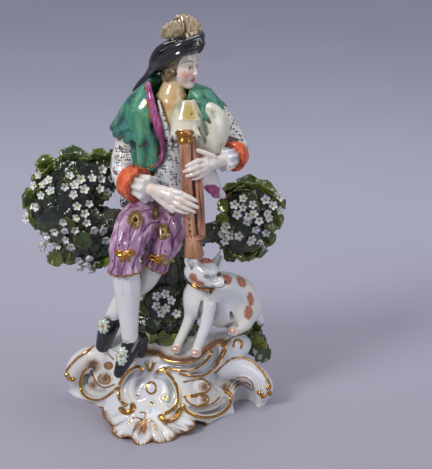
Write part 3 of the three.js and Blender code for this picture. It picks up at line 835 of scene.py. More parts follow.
def base_marks(points):
    """Where the base is gilt and where it is brown: each is above 0 inside its brush strokes."""
    seen = as_seen(points)
    gilt = np.full(len(points), -3.0)
    for line, width in GILT_LINES:
        gilt = np.maximum(gilt, width - drawn_distance(line, seen, 5))
    for (x, z), size in GILT_SPOTS + [(centre, 0.7 * size) for centre, size in MOTIFS[:3]]:
        gilt = np.maximum(gilt, size - np.linalg.norm(seen - (x, 0, z), axis=1))
    (x, z), (wide, high) = CABOCHON
    gilt = np.maximum(gilt, 0.5 - 3 * np.abs(np.hypot((seen[:, 0] - x) / wide, (seen[:, 2] - z) / high) - 1))
    for line in SPRAY:
        gilt = np.maximum(gilt, 0.35 - drawn_distance(line, seen, 5))
    angle, _ = shell_polar(seen)
    inside = hem_depth(seen)
    strokes = ripple(np.stack([angle, 0 * angle, 0 * angle], axis=1), 5, 8) + ripple(np.stack([angle, 0 * angle, 0 * angle], axis=1), 2, 9)
    low = seen[:, 2] < 6
    gilt = np.where(low, np.maximum(gilt, 0.9 - inside), gilt)
    brown = np.where(low, 1 - inside / HEM_BAND + 0.22 * strokes, 0)
    band = drawn_distance([(x, z + 0.42 * RIM_BAND) for x, z in RIM_LINE], seen, 9)
    brown = np.maximum(brown, 1.15 - band / (0.62 * RIM_BAND) * 0.5)
    for line, width in BROWN_LINES:
        brown = np.maximum(brown, 0.75 - 0.5 * drawn_distance(line, seen, 6) / width)
    for (x, z), size in BROWN_SPOTS:
        brown = np.maximum(brown, 1.15 - 0.55 * np.linalg.norm(seen - (x, 0, z), axis=1) / size)
    behind = points[:, 1] > BASE_BACK
    ground = np.clip((points[:, 2] - BASE_TOP + 1) / 4, 0, 1) * np.clip(1.6 - np.hypot(points[:, 0] - 5, points[:, 1] - 16) / 19, 0, 1)
    return {
        "gilt": np.where(behind, -3, np.clip(gilt, -3, 3)),
        "brown": np.where(behind, 0, np.clip(brown, 0, 1.2)),
        "ground": ground,
    }


def gilding(paint, colour, mask):
    """Gold laid on, browner and rubbed through in places; returns the colour and the metal mask."""
    worn = paint.noise(1.6, 3, shift=3.0)
    kept = paint.both(mask, paint.rise(worn, 0.28, 0.42))
    tone = paint.over(GOLD, GOLD_DARK, paint.rise(paint.noise(2.6, 2, shift=7.0), 0.45, 0.7), 0.55)
    return paint.over(colour, tone, kept), kept


def base_material():
    paint = Paint("base_glaze")
    colour = porcelain_body(paint)
    earth = paint.over(enamel("8f8b78"), enamel("6d6244"), paint.rise(paint.noise(5, 3, shift=4.0), 0.45, 0.6))
    patchy = paint.maths("ADD", paint.mark("ground"), paint.maths("MULTIPLY", paint.noise(6, 3, shift=9.0), 0.7))
    colour = paint.over(colour, earth, paint.rise(patchy, 0.85, 1.3), 0.65)
    streaks = paint.noise(1.3, 3, stretch=(1, 1, 2.6), shift=2.0)
    soft = paint.maths("ADD", paint.mark("brown"), paint.maths("MULTIPLY", streaks, 0.6))
    colour = paint.over(colour, enamel("b08850"), paint.rise(soft, 0.72, 1.0), 0.5)
    colour = paint.over(colour, enamel("7a4a1c"), paint.rise(soft, 0.92, 1.3), 0.88)
    colour = paint.over(colour, enamel("4f2c10"), paint.rise(soft, 1.25, 1.6), 0.6)
    line = paint.maths("ADD", paint.mark("gilt"), paint.maths("MULTIPLY", paint.noise(2.2, 2, shift=5.0), 0.4))
    colour, metal = gilding(paint, colour, paint.rise(line, 0.0, 0.3))
    roughness = paint.maths("ADD", 0.1, paint.maths("MULTIPLY", paint.noise(5, 3), 0.16))
    return paint.finish(colour, roughness, paint.maths("MULTIPLY", metal, 0.9), glaze_height(paint), 0.12)


# Seated figure: jacket, cape, waistcoat and sleeves
NECK = [(7, 9, 184, 8), (9.5, 8, 194, 6.6), (13, 6, 203, 6)]
CAPE_HEM = [
    (-5, -3.5, 168), (-9, -3.5, 167.5), (-15, -2, 168), (-21.5, 3, 170), (-24, 11, 172), (-20, 20, 170), (-8, 26, 167),
    (8, 27.5, 167), (22, 26, 171), (32, 22, 177), (36, 15, 184), (36, 7, 182.5), (33.5, 0, 179.5), (30, -4.5, 179.5),
    (26.5, -7, 182),
]
CAPE_NECK = [
    (-3, -2, 190), (-4.6, 2.5, 197), (-3, 9, 199), (1, 14.5, 199.5), (8, 17, 199.5), (15, 14.5, 198.5),
    (19, 9, 196.5), (20, 2, 193.5), (19, -2.5, 190),
]
CAPE_RIBS = 34
LAPEL = [(-4.4, 2.5, 198.2, 1.1), (-3.2, -1.5, 193.5, 1.5), (-1.6, -4.2, 187, 1.9), (0.2, -5.4, 179, 2.4), (1.8, -5.8, 172, 2.4),
         (3.3, -5.4, 166, 1.6), (3.5, -5, 160, 1.2), (1.8, -4.8, 154.5, 0.9), (-1, -4.6, 151.5, 0.5)]
NEAR_SLEEVE = [(-11, 12, 178, 8.4), (-16, 9.5, 163, 7.8), (-19, 5.5, 150, 8), (-17, 1, 143.5, 8), (-12.5, -4, 142, 7.6)]
NEAR_CUFF = [(-16.5, 0, 142.8), (-9.6, -7.2, 141.4)]
NEAR_RUFFLE = [(-10.4, -6.4, 141.5), (-3.2, -13.8, 141)]
FAR_SLEEVE = [(32, 12, 180, 7.6), (40, 10, 170, 7), (45, 6.5, 161, 6.8), (45.2, 3.5, 158, 6.8), (43.6, 1, 157, 6.4)]
FAR_CUFF = [(46, 4.6, 157.6), (42.2, -1.4, 156.5)]
FAR_RUFFLE = [(42.6, -0.8, 156.6), (37, -8, 156.4)]


def torso_clay():
    clay = Clay((-32, -25, 116), (58, 36, 207), 0.62)
    clay.add(ball((6, 12, 166), (18, 11.5, 20)), 0, "jacket")
    clay.add(ball((3, 11, 146), (14, 10.5, 16)), 6, "jacket")
    clay.add(ball((1, 9, 130), (16, 13, 13)), 5, "jacket")
    clay.add(ball((9, 4.5, 166), (11, 8.5, 17)), 2, "vest")
    clay.add(ball((6.5, 3.5, 146), (9.5, 8.5, 16)), 3, "vest")
    clay.add(ball((5.5, 0.5, 134), (8.5, 7.5, 11)), 3, "vest")
    clay.add(tube(NECK), 3, "neck")
    clay.add(tube([(8.5, 5, 190, 6.4), (8.6, 3, 181, 6.2), (8.6, 1.5, 173, 5)]), 5, "neck")
    for side in (-1, 1):
        clay.add(tube([(8.6 + 7.5 * side, 4.5, 190.5, 1.6), (9 + 2 * side, -1, 187, 1.3)]), 2.4, "neck")
    # Folds of the soft collar on both sides of the open neck
    for k in range(4):
        low = 176 - 3.6 * k
        fold = [(1.4 + 0.5 * k, -1.5, low + 13, 0.9), (3.4 + 0.6 * k, -4.0, low + 6, 1.3), (6.0 + 0.8 * k, -5.2, low, 1.0)]
        clay.add(tube(fold), 0.8, "vest")
        fold = [(17.6 - 0.4 * k, -1.5, low + 13, 0.9), (15.6 - 0.5 * k, -4, low + 6, 1.2), (11.8 - 0.3 * k, -5.2, low - 1, 0.9)]
        clay.add(tube(fold), 0.8, "vest")
    # Waistcoat edge and buttons
    for k in range(5):
        clay.add(ball((7.6 - 0.4 * k, -5.3 + 0.5 * k, 163 - 6 * k), 0.9), 0.2, "vest")
    # Jacket front beside the near arm, with a fold behind the lapel
    clay.add(tube([(-5, -1, 175, 4), (-2.5, -1.6, 166, 4.2), (-1.4, -1.8, 158, 3.8), (-2.5, -1.8, 151, 3)]), 1.0, "jacket")
    clay.add(tube([(-9, 0, 170, 3.4), (-8, -0.5, 158, 3.4), (-8.5, -0.6, 146, 3.4), (-8.5, -0.4, 138, 3)]), 1.0, "jacket")
    clay.add(tube([(-13, 4, 165, 3), (-13, 3, 152, 3.2), (-12, 3, 139, 3)]), 1.2, "jacket")
    clay.carve(tube([(-5.8, -5.4, 168, 0.5), (-5.6, -5.2, 158, 1.3), (-5.4, -4.8, 146, 1.4)]), 1.0)
    clay.add(tube(LAPEL), 0.8, "lining")
    # Jacket tails over the far hip
    for k in range(4):
        lean = 2.8 * k
        tail = [(12 + lean, 4, 153, 4), (22 + lean, 2.5 + 1.6 * k, 146, 3), (28 + lean * 0.8, 6 + k, 138 - k, 2.4),
                (33 + lean * 0.7, 9 + k, 131 - 0.4 * k, 1.5)]
        clay.add(tube(tail), 1.0, "tail")
    for k in range(7):
        x = -14 + 5.5 * k
        clay.add(tube([(x * 0.8, 17, 148, 4), (x, 19.5, 136, 3.6), (x * 1.12, 20.5, 124, 3.2)]), 1.5, "jacket")
    # Cape, rib by rib, open over the chest
    hem, collar = smooth_path(CAPE_HEM, 0.8), smooth_path(CAPE_NECK, 0.8)
    middle = np.array((8, 9, 190))
    for k in range(CAPE_RIBS):
        share = k / (CAPE_RIBS - 1)
        end = hem[int(share * (len(hem) - 1))]
        start = collar[int(share * (len(collar) - 1))]
        flat = unit((end - middle) * (1, 1, 0))
        shoulder = start * 0.5 + end * 0.5 + flat * 1.2 + (0, 0, 1.4)
        flare = start * 0.2 + end * 0.8 + flat * 0.6
        last = end + flat * (0.9 if k % 2 else -0.3) + (0, 0, -1.1 if k % 2 else 0.5)
        size = 2.5 if k % 2 else 1.9
        clay.add(tube([(*start, 1.5), (*shoulder, 2.7), (*flare, size + 0.3), (*last, size)]), 1.5, "cape")
    # Sleeves, turned cuffs and gathered ruffles
    for sleeve, cuff, ruffle, size in (
        (NEAR_SLEEVE, NEAR_CUFF, NEAR_RUFFLE, (9.6, 10.6, 6.2, 8.0)),
        (FAR_SLEEVE, FAR_CUFF, FAR_RUFFLE, (8.0, 9.0, 5.4, 6.8)),
    ):
        clay.add(tube(sleeve), 1.5, "sleeve")
        clay.add(drum(*cuff, size[0], size[1], 1.0), 0.5, "cuff")
        clay.carve(drum(np.array(cuff[1]) + 0.2 * unit(np.subtract(cuff[1], cuff[0])),
                        np.array(cuff[1]) + 2.5 * unit(np.subtract(cuff[1], cuff[0])), size[1] - 1.6, size[1] - 1.2), 0.4)
        clay.add(drum(*ruffle, size[2], size[3], 1.6, folds=9, depth=0.7), 0.4, "ruffle")
    # Creases of the sleeves
    for start, bend, end in (
        ((-24, 3, 156), (-21, -2.5, 153), (-15, -2, 152)), ((-26, 4, 150), (-22.5, -2, 147), (-17, -5, 146.5)),
        ((-22, 6, 163), (-19, 1.5, 160), (-13, 1, 160)), ((38, 4, 168), (43, 2.2, 166), (49, 4, 165)),
        ((40, 2.5, 163), (45, -0.2, 162.5), (50, 2, 162)),
    ):
        clay.carve(tube([(*start, 0.3), (*bend, 0.7), (*end, 0.3)]), 1.6)
    return clay


def sprigs(paint, colour, where, size=5.5, shift=0.0):
    """Small blue flowers and gilt leaves scattered over white cloth."""
    spots = paint.cells(size, shift=shift, loose=0.7)
    dots = paint.cells(1.55, shift=shift + 4, loose=0.35)
    cluster = paint.rise(spots, 0.46, 0.4)
    blue = paint.both(cluster, paint.rise(dots, 0.44, 0.36))
    heart = paint.rise(spots, 0.13, 0.08)
    leaves = paint.cells(size * 0.8, stretch=(1, 1, 0.6), shift=shift + 9, loose=0.9)
    gold_spots = paint.without(paint.rise(leaves, 0.34, 0.28), cluster)
    streak = paint.rise(paint.noise(1.3, 2, shift=shift), 0.42, 0.5)
    gold_spots = paint.both(gold_spots, streak)
    colour = paint.over(colour, enamel("2b3566"), paint.both(blue, where))
    colour = paint.over(colour, enamel("b98d2e"), paint.both(heart, where))
    return paint.over(colour, enamel("8f6a2c"), paint.both(gold_spots, where))


def region(paint, name, soft=0.15, wobble=0.35):
    """The mask of a painted region, its edge a little uneven as from a brush."""
    edge = paint.maths("SUBTRACT", paint.noise(2.4, 2, shift=11.0), 0.5)
    moved = paint.maths("ADD", paint.mark(name), paint.maths("MULTIPLY", edge, wobble * 2))
    return paint.rise(moved, -soft, soft)


def cloth(paint, colour, dark, light, mask_low=0.35, mask_high=0.7, size=7, stretch=(1, 1, 2.5), shift=0.0):
    """An enamel colour that drifts lighter and darker at random, with its dark colour painted as shade in the hollows.
    """
    drift = paint.noise(size, 3, stretch=stretch, shift=shift, rough=0.6)
    colour = paint.over(enamel(colour), enamel(light), paint.rise(drift, 0.5, mask_high))
    colour = paint.over(colour, enamel(dark), paint.rise(drift, 0.5, mask_low))
    # Painted shade: the dark colour laid in the hollows
    return paint.over(colour, enamel(dark), paint.rise(paint.mark("hollow"), 0.0, 0.6), 0.75)


def torso_material():
    paint = Paint("jacket_glaze")
    white = porcelain_body(paint)
    colour = cloth(paint, "3f8a6c", "1f4f4a", "6fae8e", shift=2)
    colour = paint.over(colour, enamel("86a05a"), paint.rise(paint.noise(6, 2, shift=21.0), 0.56, 0.7), 0.6)
    colour = paint.over(colour, enamel("4c8f8c"), paint.rise(paint.noise(9, 2, shift=31.0), 0.52, 0.66), 0.7)
    gold_edge = paint.both(paint.rise(paint.mark("hem"), 0.0, 0.2), region(paint, "cape"))
    vest, sleeve = region(paint, "vest"), region(paint, "sleeve")
    colour = paint.over(colour, white, paint.either(vest, sleeve))
    colour = sprigs(paint, colour, vest, 5.0, 3.0)
    colour = sprigs(paint, colour, sleeve, 5.5, 14.0)
    skin = paint.over(enamel("dfc796"), enamel("e0a878"), paint.rise(paint.noise(14, 2, shift=4.0), 0.46, 0.62))
    # Painted shade on the neck in its hollows
    skin = paint.over(skin, enamel("a98a5a"), paint.rise(paint.mark("hollow"), 0.1, 0.7), 0.6)
    colour = paint.over(colour, skin, region(paint, "neck", 0.5))
    lining = cloth(paint, "a0407c", "6a2150", "cf86b4", size=4, shift=8)
    colour = paint.over(colour, lining, region(paint, "lining"))
    tail = paint.over(lining, white, paint.rise(paint.noise(8, 1, shift=17.0), 0.44, 0.5))
    colour = paint.over(colour, tail, region(paint, "tail"))
    colour = paint.over(colour, cloth(paint, "dd5a2c", "a8381a", "ee8452", size=4, shift=5), region(paint, "cuff"))
    colour = paint.over(colour, white, region(paint, "ruffle"))
    colour, metal = gilding(paint, colour, gold_edge)
    dots = paint.both(paint.rise(paint.mark("trim"), 0.0, 0.25), paint.rise(paint.cells(2.6, shift=6.0), 0.5, 0.4))
    colour, metal_dots = gilding(paint, colour, dots)
    metal = paint.either(metal, metal_dots)
    roughness = paint.maths("ADD", 0.09, paint.maths("MULTIPLY", paint.noise(5, 3), 0.16))
    return paint.finish(colour, roughness, paint.maths("MULTIPLY", metal, 0.9), glaze_height(paint), 0.12)


def torso_marks(points):
    trim = smooth_path([(a - 2.8, b - 0.6, c) for a, b, c, _ in LAPEL], 1.0)
    return {
        "hem": 0.7 - line_distance(smooth_path([(x, y, z - 2) for x, y, z in CAPE_HEM], 1.0), points, 5),
        "trim": 1.3 - line_distance(trim, points, 5),
    }


# Legs: flowered breeches, stockings and rosetted shoes
NEAR_THIGH = [(-3, 6, 124, 12.5), (-12, -10, 119, 10.8), (-17.3, -18, 109, 9.2), (-18.3, -20, 103, 8.0)]
NEAR_FRILL = [(-18.4, -20.1, 101.5), (-18, -19.9, 94.5)]
NEAR_STOCKING = [(-18, -19.8, 96, 7), (-17, -18.5, 85, 7.9), (-16.6, -19, 70, 6.1), (-16, -19.5, 54, 4.7)]
NEAR_SHOE = [(-13.5, -17.5, 51.5, 5.2), (-17.5, -23, 45.5, 5.4), (-22, -28.5, 36, 3.2)]
FAR_THIGH = [(5, 8, 124, 11.5), (7, -1, 117, 10), (4.5, -7, 107, 8.6), (1.5, -8, 101, 7.6)]
FAR_FRILL = [(1.2, -8, 100.5), (-2.5, -7, 94)]
FAR_STOCKING = [(-1.5, -7.3, 96, 6.8), (-8, -4, 85, 7.6), (-19, 0, 73, 6.1), (-27, 1, 60, 4.6)]
FAR_SHOE = [(-26, 2, 58, 5), (-30, 0, 52, 5.8), (-33.5, 1, 41, 4.4)]
SHOE_ROSETTES = [((-20.2, -28.6, 46.6), (4.0, 6.0)), ((-32.3, -5.6, 56), (4.3, 5.2))]
MEDALLIONS = [((-11.8, 125), (4.6, 5.2)), ((3.6, 116), (4.4, 4.8)), ((-0.4, 126.5), (2.6, 4.0)), ((8.5, 127), (2.6, 4.2))]
BOWS = [(-17.2, -28.4, 107.5), (0.2, -15.8, 101)]


def rosette(clay, centre, size, lean, name, petals=9):
    """A ribbon rosette: a ring of rounded folds round a button, facing along lean."""
    face = unit(lean)
    side = unit(np.cross(face, (0, 0, 1)))
    up = np.cross(side, face)
    middle = np.array(centre)
    for k in range(petals):
        angle = 2 * math.pi * k / petals
        out = side * math.cos(angle) * size[0] * 0.8 + up * math.sin(angle) * size[1] * 0.8
        clay.add(tube([(*(middle + face * 0.5), 0.8), (*(middle + out * 0.6 + face * 0.5), 1.1), (*(middle + out), 0.9)]),
                 0.3, name)
    clay.add(ball(middle + face * 1.1, 0.28 * size[0]), 0.2, name + "_heart")


def limb_frame(along):
    """Directions across a limb: its side and its front, which faces the viewer."""
    axis = unit(along)
    side = unit(np.cross(axis, (0, -1, 0.3)))
    return side, np.cross(side, axis)


def limb_ridge(stations, angle, radius):
    """Stations of a ridge along a limb's surface, at an angle in degrees from its front."""
    path = smooth_path(stations, 5)
    out = []
    for k, row in enumerate(path[1:-1], 1):
        side, front = limb_frame(path[k + 1][:3] - path[k - 1][:3])
        sway = math.radians(angle + 9 * math.sin(1.9 * k + angle))
        reach = row[3] - 0.45 * radius
        out.append((*(row[:3] + (side * math.sin(sway) + front * math.cos(sway)) * reach), radius))
    return out


def legs_clay():
    clay = Clay((-42, -34, 32), (22, 26, 139), 0.58)
    clay.add(tube(NEAR_THIGH), 0, "breeches")
    clay.add(tube(FAR_THIGH), 1.5, "breeches")
    clay.add(ball((1, 10, 126), (15, 12, 11)), 4, "breeches")
    # Gathers above the knees
    for middle, low, radius in (((-17.8, -19.2, 107), (-18.4, -20.1, 101.5), 9.2), ((3.4, -7.6, 105), (1.2, -8, 100.5), 8.4)):
        for k in range(9):
            angle = 2 * math.pi * k / 9 + 0.3
            out = np.array([math.cos(angle), math.sin(angle), 0])
            clay.add(tube([(*(np.array(middle) + out * (radius - 2.2)), 2.0),
                           (*(np.array(low) + out * (radius - 2.8)), 1.3)]), 1.8, "breeches")
    # Ridges of gathered cloth along the thighs
    for stations, angles in ((NEAR_THIGH, (-125, -85, -48, -12, 30, 75, 120)), (FAR_THIGH, (-110, -60, -20, 25, 70, 115))):
        for angle in angles:
            clay.add(tube(limb_ridge(stations, angle, 1.25)), 1.8, "breeches")
    # Long folds of the thighs
    for fold in (
        [(-4, -7, 128, 0.4), (-12, -18.5, 123.5, 0.9), (-15, -25.5, 115, 0.5)],
        [(-14, -1, 127, 0.4), (-22, -12, 118, 0.9), (-26, -19, 110, 0.4)],
        [(4, -8, 125, 0.4), (9, -12.5, 116, 0.9), (9, -14, 108, 0.4)],
    ):
        clay.carve(tube(fold), 2.2)
    for frill, r0, r1 in ((NEAR_FRILL, 7.4, 9.6), (FAR_FRILL, 6.8, 8.6)):
        clay.add(drum(*frill, r0, r1, 0.8, folds=13, depth=0.75), 0.4, "frill")
    clay.add(tube(NEAR_STOCKING), 0.6, "stocking")
    clay.add(tube(FAR_STOCKING), 0.6, "stocking")
    for k in range(6):
        angle = math.radians(170 + 40 * k)
        out = np.array([math.cos(angle), math.sin(angle), 0])
        ridge = [(*(np.array([-18, -19.9, 95]) + out * 6.6), 0.8), (*(np.array([-17.2, -18.9, 84]) + out * 7.2), 0.5)]
        clay.add(tube(ridge), 1.4, "stocking")
    for shoe in (NEAR_SHOE, FAR_SHOE):
        clay.add(tube(shoe), 0.3, "shoe")
    clay.add(tube([(-9, -14.5, 50.5, 3.6), (-10, -15.5, 43, 3.2)]), 1.5, "shoe")
    # Sole edges
    clay.carve(tube([(-8, -19.5, 40.5, 0.35), (-15, -26, 38, 0.35), (-22, -32, 33, 0.3)]), 0.6)
    for (centre, size), lean in zip(SHOE_ROSETTES, ((-0.25, -1, 0.35), (-0.4, -1, 0.3))):
        rosette(clay, centre, size, lean, "rosette", 10)
    # Knee bows
    for centre in BOWS:
        x, y, z = centre
        for side in (-1, 1):
            loop = [(x, y, z, 0.7), (x + 3 * side, y + 0.5, z + 1.9, 0.9), (x + 5 * side, y + 1.6, z + 0.4, 0.9),
                    (x + 3 * side, y + 0.4, z - 1, 0.8), (x, y, z, 0.7)]
            clay.add(tube(loop, 0.8), 0.3, "bow")
            clay.add(tube([(x, y, z, 0.8), (x + 1.8 * side, y + 0.2, z - 3.6, 0.9)]), 0.3, "bow")
        clay.add(ball((x, y - 0.6, z), 1.3), 0.2, "bow")
    # Leaf-green bow at the far knee
    for tip in ((8.5, -11, 101.5), (9.4, -10, 97.6), (5.4, -13, 96)):
        clay.add(tube([(3.2, -14, 101, 0.9), (*(np.array(tip) * 0.6 + np.array((3.2, -14, 101)) * 0.4), 1.7), (*tip, 0.9)]),
                 0.3, "green_bow")
    return clay


def limb_stripe(points, stations, count, wobble):
    """Distance, in mm, to wavy lines that run along a limb."""
    path = smooth_path(stations, 1.0)
    best = np.full(len(points), FAR)
    offset = np.full(len(points), FAR)
    travelled = 0.0
    for a, b in zip(path, path[1:]):
        along = b[:3] - a[:3]
        length = np.linalg.norm(along)
        axis = along / length
        q = points - a[:3]
        share = np.clip(q @ axis / length, 0, 1)
        radial = q - share[:, None] * along
        distance = np.linalg.norm(radial, axis=1)
        side, front = limb_frame(axis)
        angle = np.arctan2(radial @ side, radial @ front)
        run = travelled + share * length
        wave = angle + wobble * np.sin(run / 4.5) / np.maximum(distance, 2)
        gap = 2 * math.pi / count
        from_line = np.abs((wave / gap + 0.5) % 1 - 0.5) * gap * distance
        closer = distance < best
        best[closer] = distance[closer]
        offset[closer] = from_line[closer]
        travelled += length
    return offset


def legs_marks(points):
    near = np.minimum.reduce([np.linalg.norm(points - s[:3], axis=1) - s[3] for s in smooth_path(NEAR_THIGH, 2.0)])
    far = np.minimum.reduce([np.linalg.norm(points - s[:3], axis=1) - s[3] for s in smooth_path(FAR_THIGH, 2.0)])
    near_line = limb_stripe(points, NEAR_THIGH + [(-18, -19.8, 92, 8)], 8, 2.0)
    far_line = limb_stripe(points, FAR_THIGH + [(-2.5, -7, 92, 8)], 8, 2.0)
    stripe = np.where(near < far, near_line, far_line)
    medal = np.full(len(points), 9.0)
    for (x, z), radii in MEDALLIONS:
        medal = np.minimum(medal, spot_distance(points, (x, -18, z), radii, 0.2))
    rims = np.full(len(points), -3.0)
    for start, end in (NEAR_FRILL, FAR_FRILL):
        axis = unit(np.subtract(end, start))
        near_end = np.linalg.norm(points - end, axis=1) < 12
        rims = np.where(near_end, np.maximum(rims, (points - end) @ axis + 1.5), rims)
    centres = np.full(len(points), 9.0)
    for centre, radii in SHOE_ROSETTES:
        centres = np.minimum(centres, np.linalg.norm(points - centre, axis=1) / radii[0])
    return {"stripe": stripe, "medal": medal, "frill_rim": rims, "rosette_out": centres}


def legs_material():
    paint = Paint("breeches_glaze")
    white = porcelain_body(paint)
    colour = cloth(paint, "b58cab", "8a5f86", "d7c2d6", size=5, shift=3)
    # Painted highlights: pale grey-white patches scattered over the breeches
    colour = paint.over(colour, enamel("e4dce6"), paint.rise(paint.noise(4, 3, shift=12.0), 0.6, 0.75), 0.5)
    line = paint.maths("ADD", paint.mark("stripe"), paint.maths("MULTIPLY", paint.noise(1.8, 2, shift=2.0), 0.9))
    outside = paint.rise(paint.mark("medal"), 0.98, 1.1)
    colour = paint.over(colour, enamel("6e2f70"), paint.both(paint.rise(line, 1.12, 0.85), outside), 0.9)
    dots = paint.both(paint.rise(paint.cells(7, shift=5.0), 0.14, 0.1), outside)
    colour = paint.over(colour, enamel("6e2f70"), dots, 0.85)
    medal = paint.maths("ADD", paint.mark("medal"), paint.maths("MULTIPLY", paint.noise(1.6, 2, shift=4.0), 0.2))
    brown = paint.over(enamel("8a6a3e"), enamel("5a4322"), paint.rise(paint.noise(2, 3, shift=6.0), 0.4, 0.6))
    ring = paint.without(paint.rise(medal, 0.6, 0.5), paint.rise(medal, 0.46, 0.38))
    brown = paint.over(brown, enamel("c9a862"), ring, 0.8)
    ring = paint.without(paint.rise(medal, 0.36, 0.3), paint.rise(medal, 0.22, 0.16))
    brown = paint.over(brown, enamel("2e1a18"), ring, 0.85)
    colour = paint.over(colour, brown, paint.rise(medal, 1.1, 0.98))
    colour = paint.over(colour, white, region(paint, "stocking"))
    shoe = paint.over(enamel("10121a"), enamel("232834"), paint.rise(paint.noise(5, 2, shift=8.0), 0.5, 0.7))
    colour = paint.over(colour, shoe, region(paint, "shoe"))
    ribbon = paint.over(enamel("d9e0d4"), enamel("7d9a88"), paint.rise(paint.noise(1.6, 3, shift=10.0), 0.46, 0.6))
    # Painted shade in the folds of the rosette ribbon
    ribbon = paint.over(ribbon, enamel("55706a"), paint.rise(paint.mark("hollow"), 0.1, 0.6), 0.8)
    colour = paint.over(colour, ribbon, region(paint, "rosette"))
    colour = paint.over(colour, enamel("b98f62"), region(paint, "rosette_heart"))
    colour = paint.over(colour, enamel("6d3a26"), paint.both(region(paint, "rosette_heart"),
                                                             paint.rise(paint.mark("rosette_out"), 0.27, 0.2)))
    leafy = paint.over(enamel("a6a450"), enamel("5c6a2c"), paint.rise(paint.noise(1.8, 3, shift=5.0), 0.45, 0.6))
    colour = paint.over(colour, leafy, region(paint, "green_bow"))
    gilt = paint.either(region(paint, "bow"), paint.both(paint.rise(paint.mark("frill_rim"), 0.0, 0.3), region(paint, "frill")))
    colour, metal = gilding(paint, colour, gilt)
    roughness = paint.maths("ADD", 0.08, paint.maths("MULTIPLY", paint.noise(5, 3), 0.15))
    return paint.finish(colour, roughness, paint.maths("MULTIPLY", metal, 0.9), glaze_height(paint), 0.12)


# Hands on the pipes
NEAR_PALM = [(-6, -11.5, 141, 3.9), (-1, -15.5, 141.2, 3.6), (4, -19.5, 141, 4.0), (8.5, -22, 139.5, 3.9)]
NEAR_FINGERS = [
    [(8.5, -22, 142.8, 1.9), (14, -24.5, 141.6, 1.8), (19, -25.6, 139.6, 1.6), (22.6, -25, 137.6, 1.2)],
    [(9, -22.8, 140.2, 2.0), (14.5, -25.4, 138.3, 1.9), (19.5, -26.6, 136.2, 1.6), (23.2, -26, 134.2, 1.2)],
    [(8, -22.8, 137.8, 1.9), (13, -25.6, 135.6, 1.8), (18, -26.8, 133.6, 1.5), (21.7, -26.2, 131.8, 1.1)],
    [(6.4, -21.6, 135.8, 1.8), (10.5, -24.4, 133.4, 1.6), (14.8, -25.8, 131.8, 1.4), (18.1, -25.6, 131, 1.0)],
]
NEAR_THUMB = [(0, -17.5, 138.6, 2.2), (4.5, -21.5, 135.5, 2.0), (9.5, -23.6, 131.6, 1.5)]
FAR_PALM = [(38.5, -6.5, 156.5, 3.6), (35, -10, 156.4, 3.5), (31, -13.5, 156, 4.0), (27.5, -16, 155.6, 4.0)]
FAR_FINGERS = [
    [(27.6, -16.8, 159, 1.8), (23.5, -19.8, 158.8, 1.7), (20, -21.4, 157.8, 1.5), (17, -21, 156.5, 1.1)],
    [(27.4, -17.6, 156.6, 1.9), (23, -20.8, 155.9, 1.8), (19.4, -22.2, 154.9, 1.6), (16.2, -21.6, 153.7, 1.1)],
    [(27.6, -17.6, 154.1, 1.8), (23.6, -20.8, 153, 1.7), (20.4, -22.2, 152.1, 1.5), (17.5, -21.6, 151.2, 1.1)],
    [(28.4, -16.8, 151.9, 1.6), (25.2, -19.6, 150.6, 1.5), (22.6, -21, 149.8, 1.3), (20.6, -20.9, 149.3, 1.0)],
]
FAR_THUMB = [(32, -14, 160, 1.9), (27, -16.5, 163, 1.6), (23.5, -17.5, 164.6, 1.3)]


def hand_clay(palm, fingers, thumb):
    stations = np.array(palm + thumb + [row for finger in fingers for row in finger])
    low = stations[:, :3].min(axis=0) - 5.5
    high = stations[:, :3].max(axis=0) + 5.5
    clay = Clay(low, high, 0.36)
    clay.add(tube(palm), 0, "skin")
    for finger in fingers:
        root = np.array(palm[-1])
        base_row = np.array(finger[0])
        back = root * 0.45 + base_row * 0.55
        clay.add(tube([(*back[:3], 2.2), finger[0]]), 1.6, "skin")
        clay.add(tube(finger), 0.5, "skin")
        tip, before = np.array(finger[-1]), np.array(finger[-2])
        along = unit((tip - before)[:3])
        nail = tip[:3] + np.array([0, -0.75, 0.5]) - along * 0.2
        clay.add(ball(nail, (0.75, 0.5, 0.6)), 0.2, "nail")
        knuckle = np.array(finger[1])
        clay.add(ball(knuckle[:3] + (0, -0.5, 0.5), knuckle[3] * 0.85), 0.8, "skin")
    clay.add(tube(thumb), 1.4, "skin")
    return clay


def hand_material():
    paint = Paint("hand_glaze", 0.2, 0.4)
    tone = paint.over(enamel("e9e0d8"), enamel("e6c9b6"), paint.rise(paint.noise(6, 2, shift=1.0), 0.5, 0.68), 0.7)
    tone = paint.over(tone, enamel("f0eae6"), paint.rise(paint.noise(4, 2, shift=5.0), 0.55, 0.7), 0.5)
    # Painted shade in the creases and between the fingers
    crease = paint.rise(paint.mark("hollow"), 0.12, 0.55)
    tone = paint.over(tone, enamel("a97a5a"), crease, 0.8)
    tone = paint.over(tone, enamel("e3b09c"), region(paint, "nail"), 0.5)
    roughness = paint.maths("ADD", 0.12, paint.maths("MULTIPLY", paint.noise(4, 3), 0.14))
    return paint.finish(tone, roughness, None, glaze_height(paint), 0.1)


# Head, in its own frame: x forward, y to its left, z up, in mm from the middle of the skull
HEAD = np.array((14.0, 6.0, 208.0))
FORWARD = unit((0.8, -0.6, -0.05))
LEFT = unit(np.cross((0, 0, 1), FORWARD))
UP = np.cross(FORWARD, LEFT)
EYES = [(8.5, side * 3.3, 0.5) for side in (-1, 1)]


def from_head(points):
    return HEAD + points @ np.stack([FORWARD, LEFT, UP])


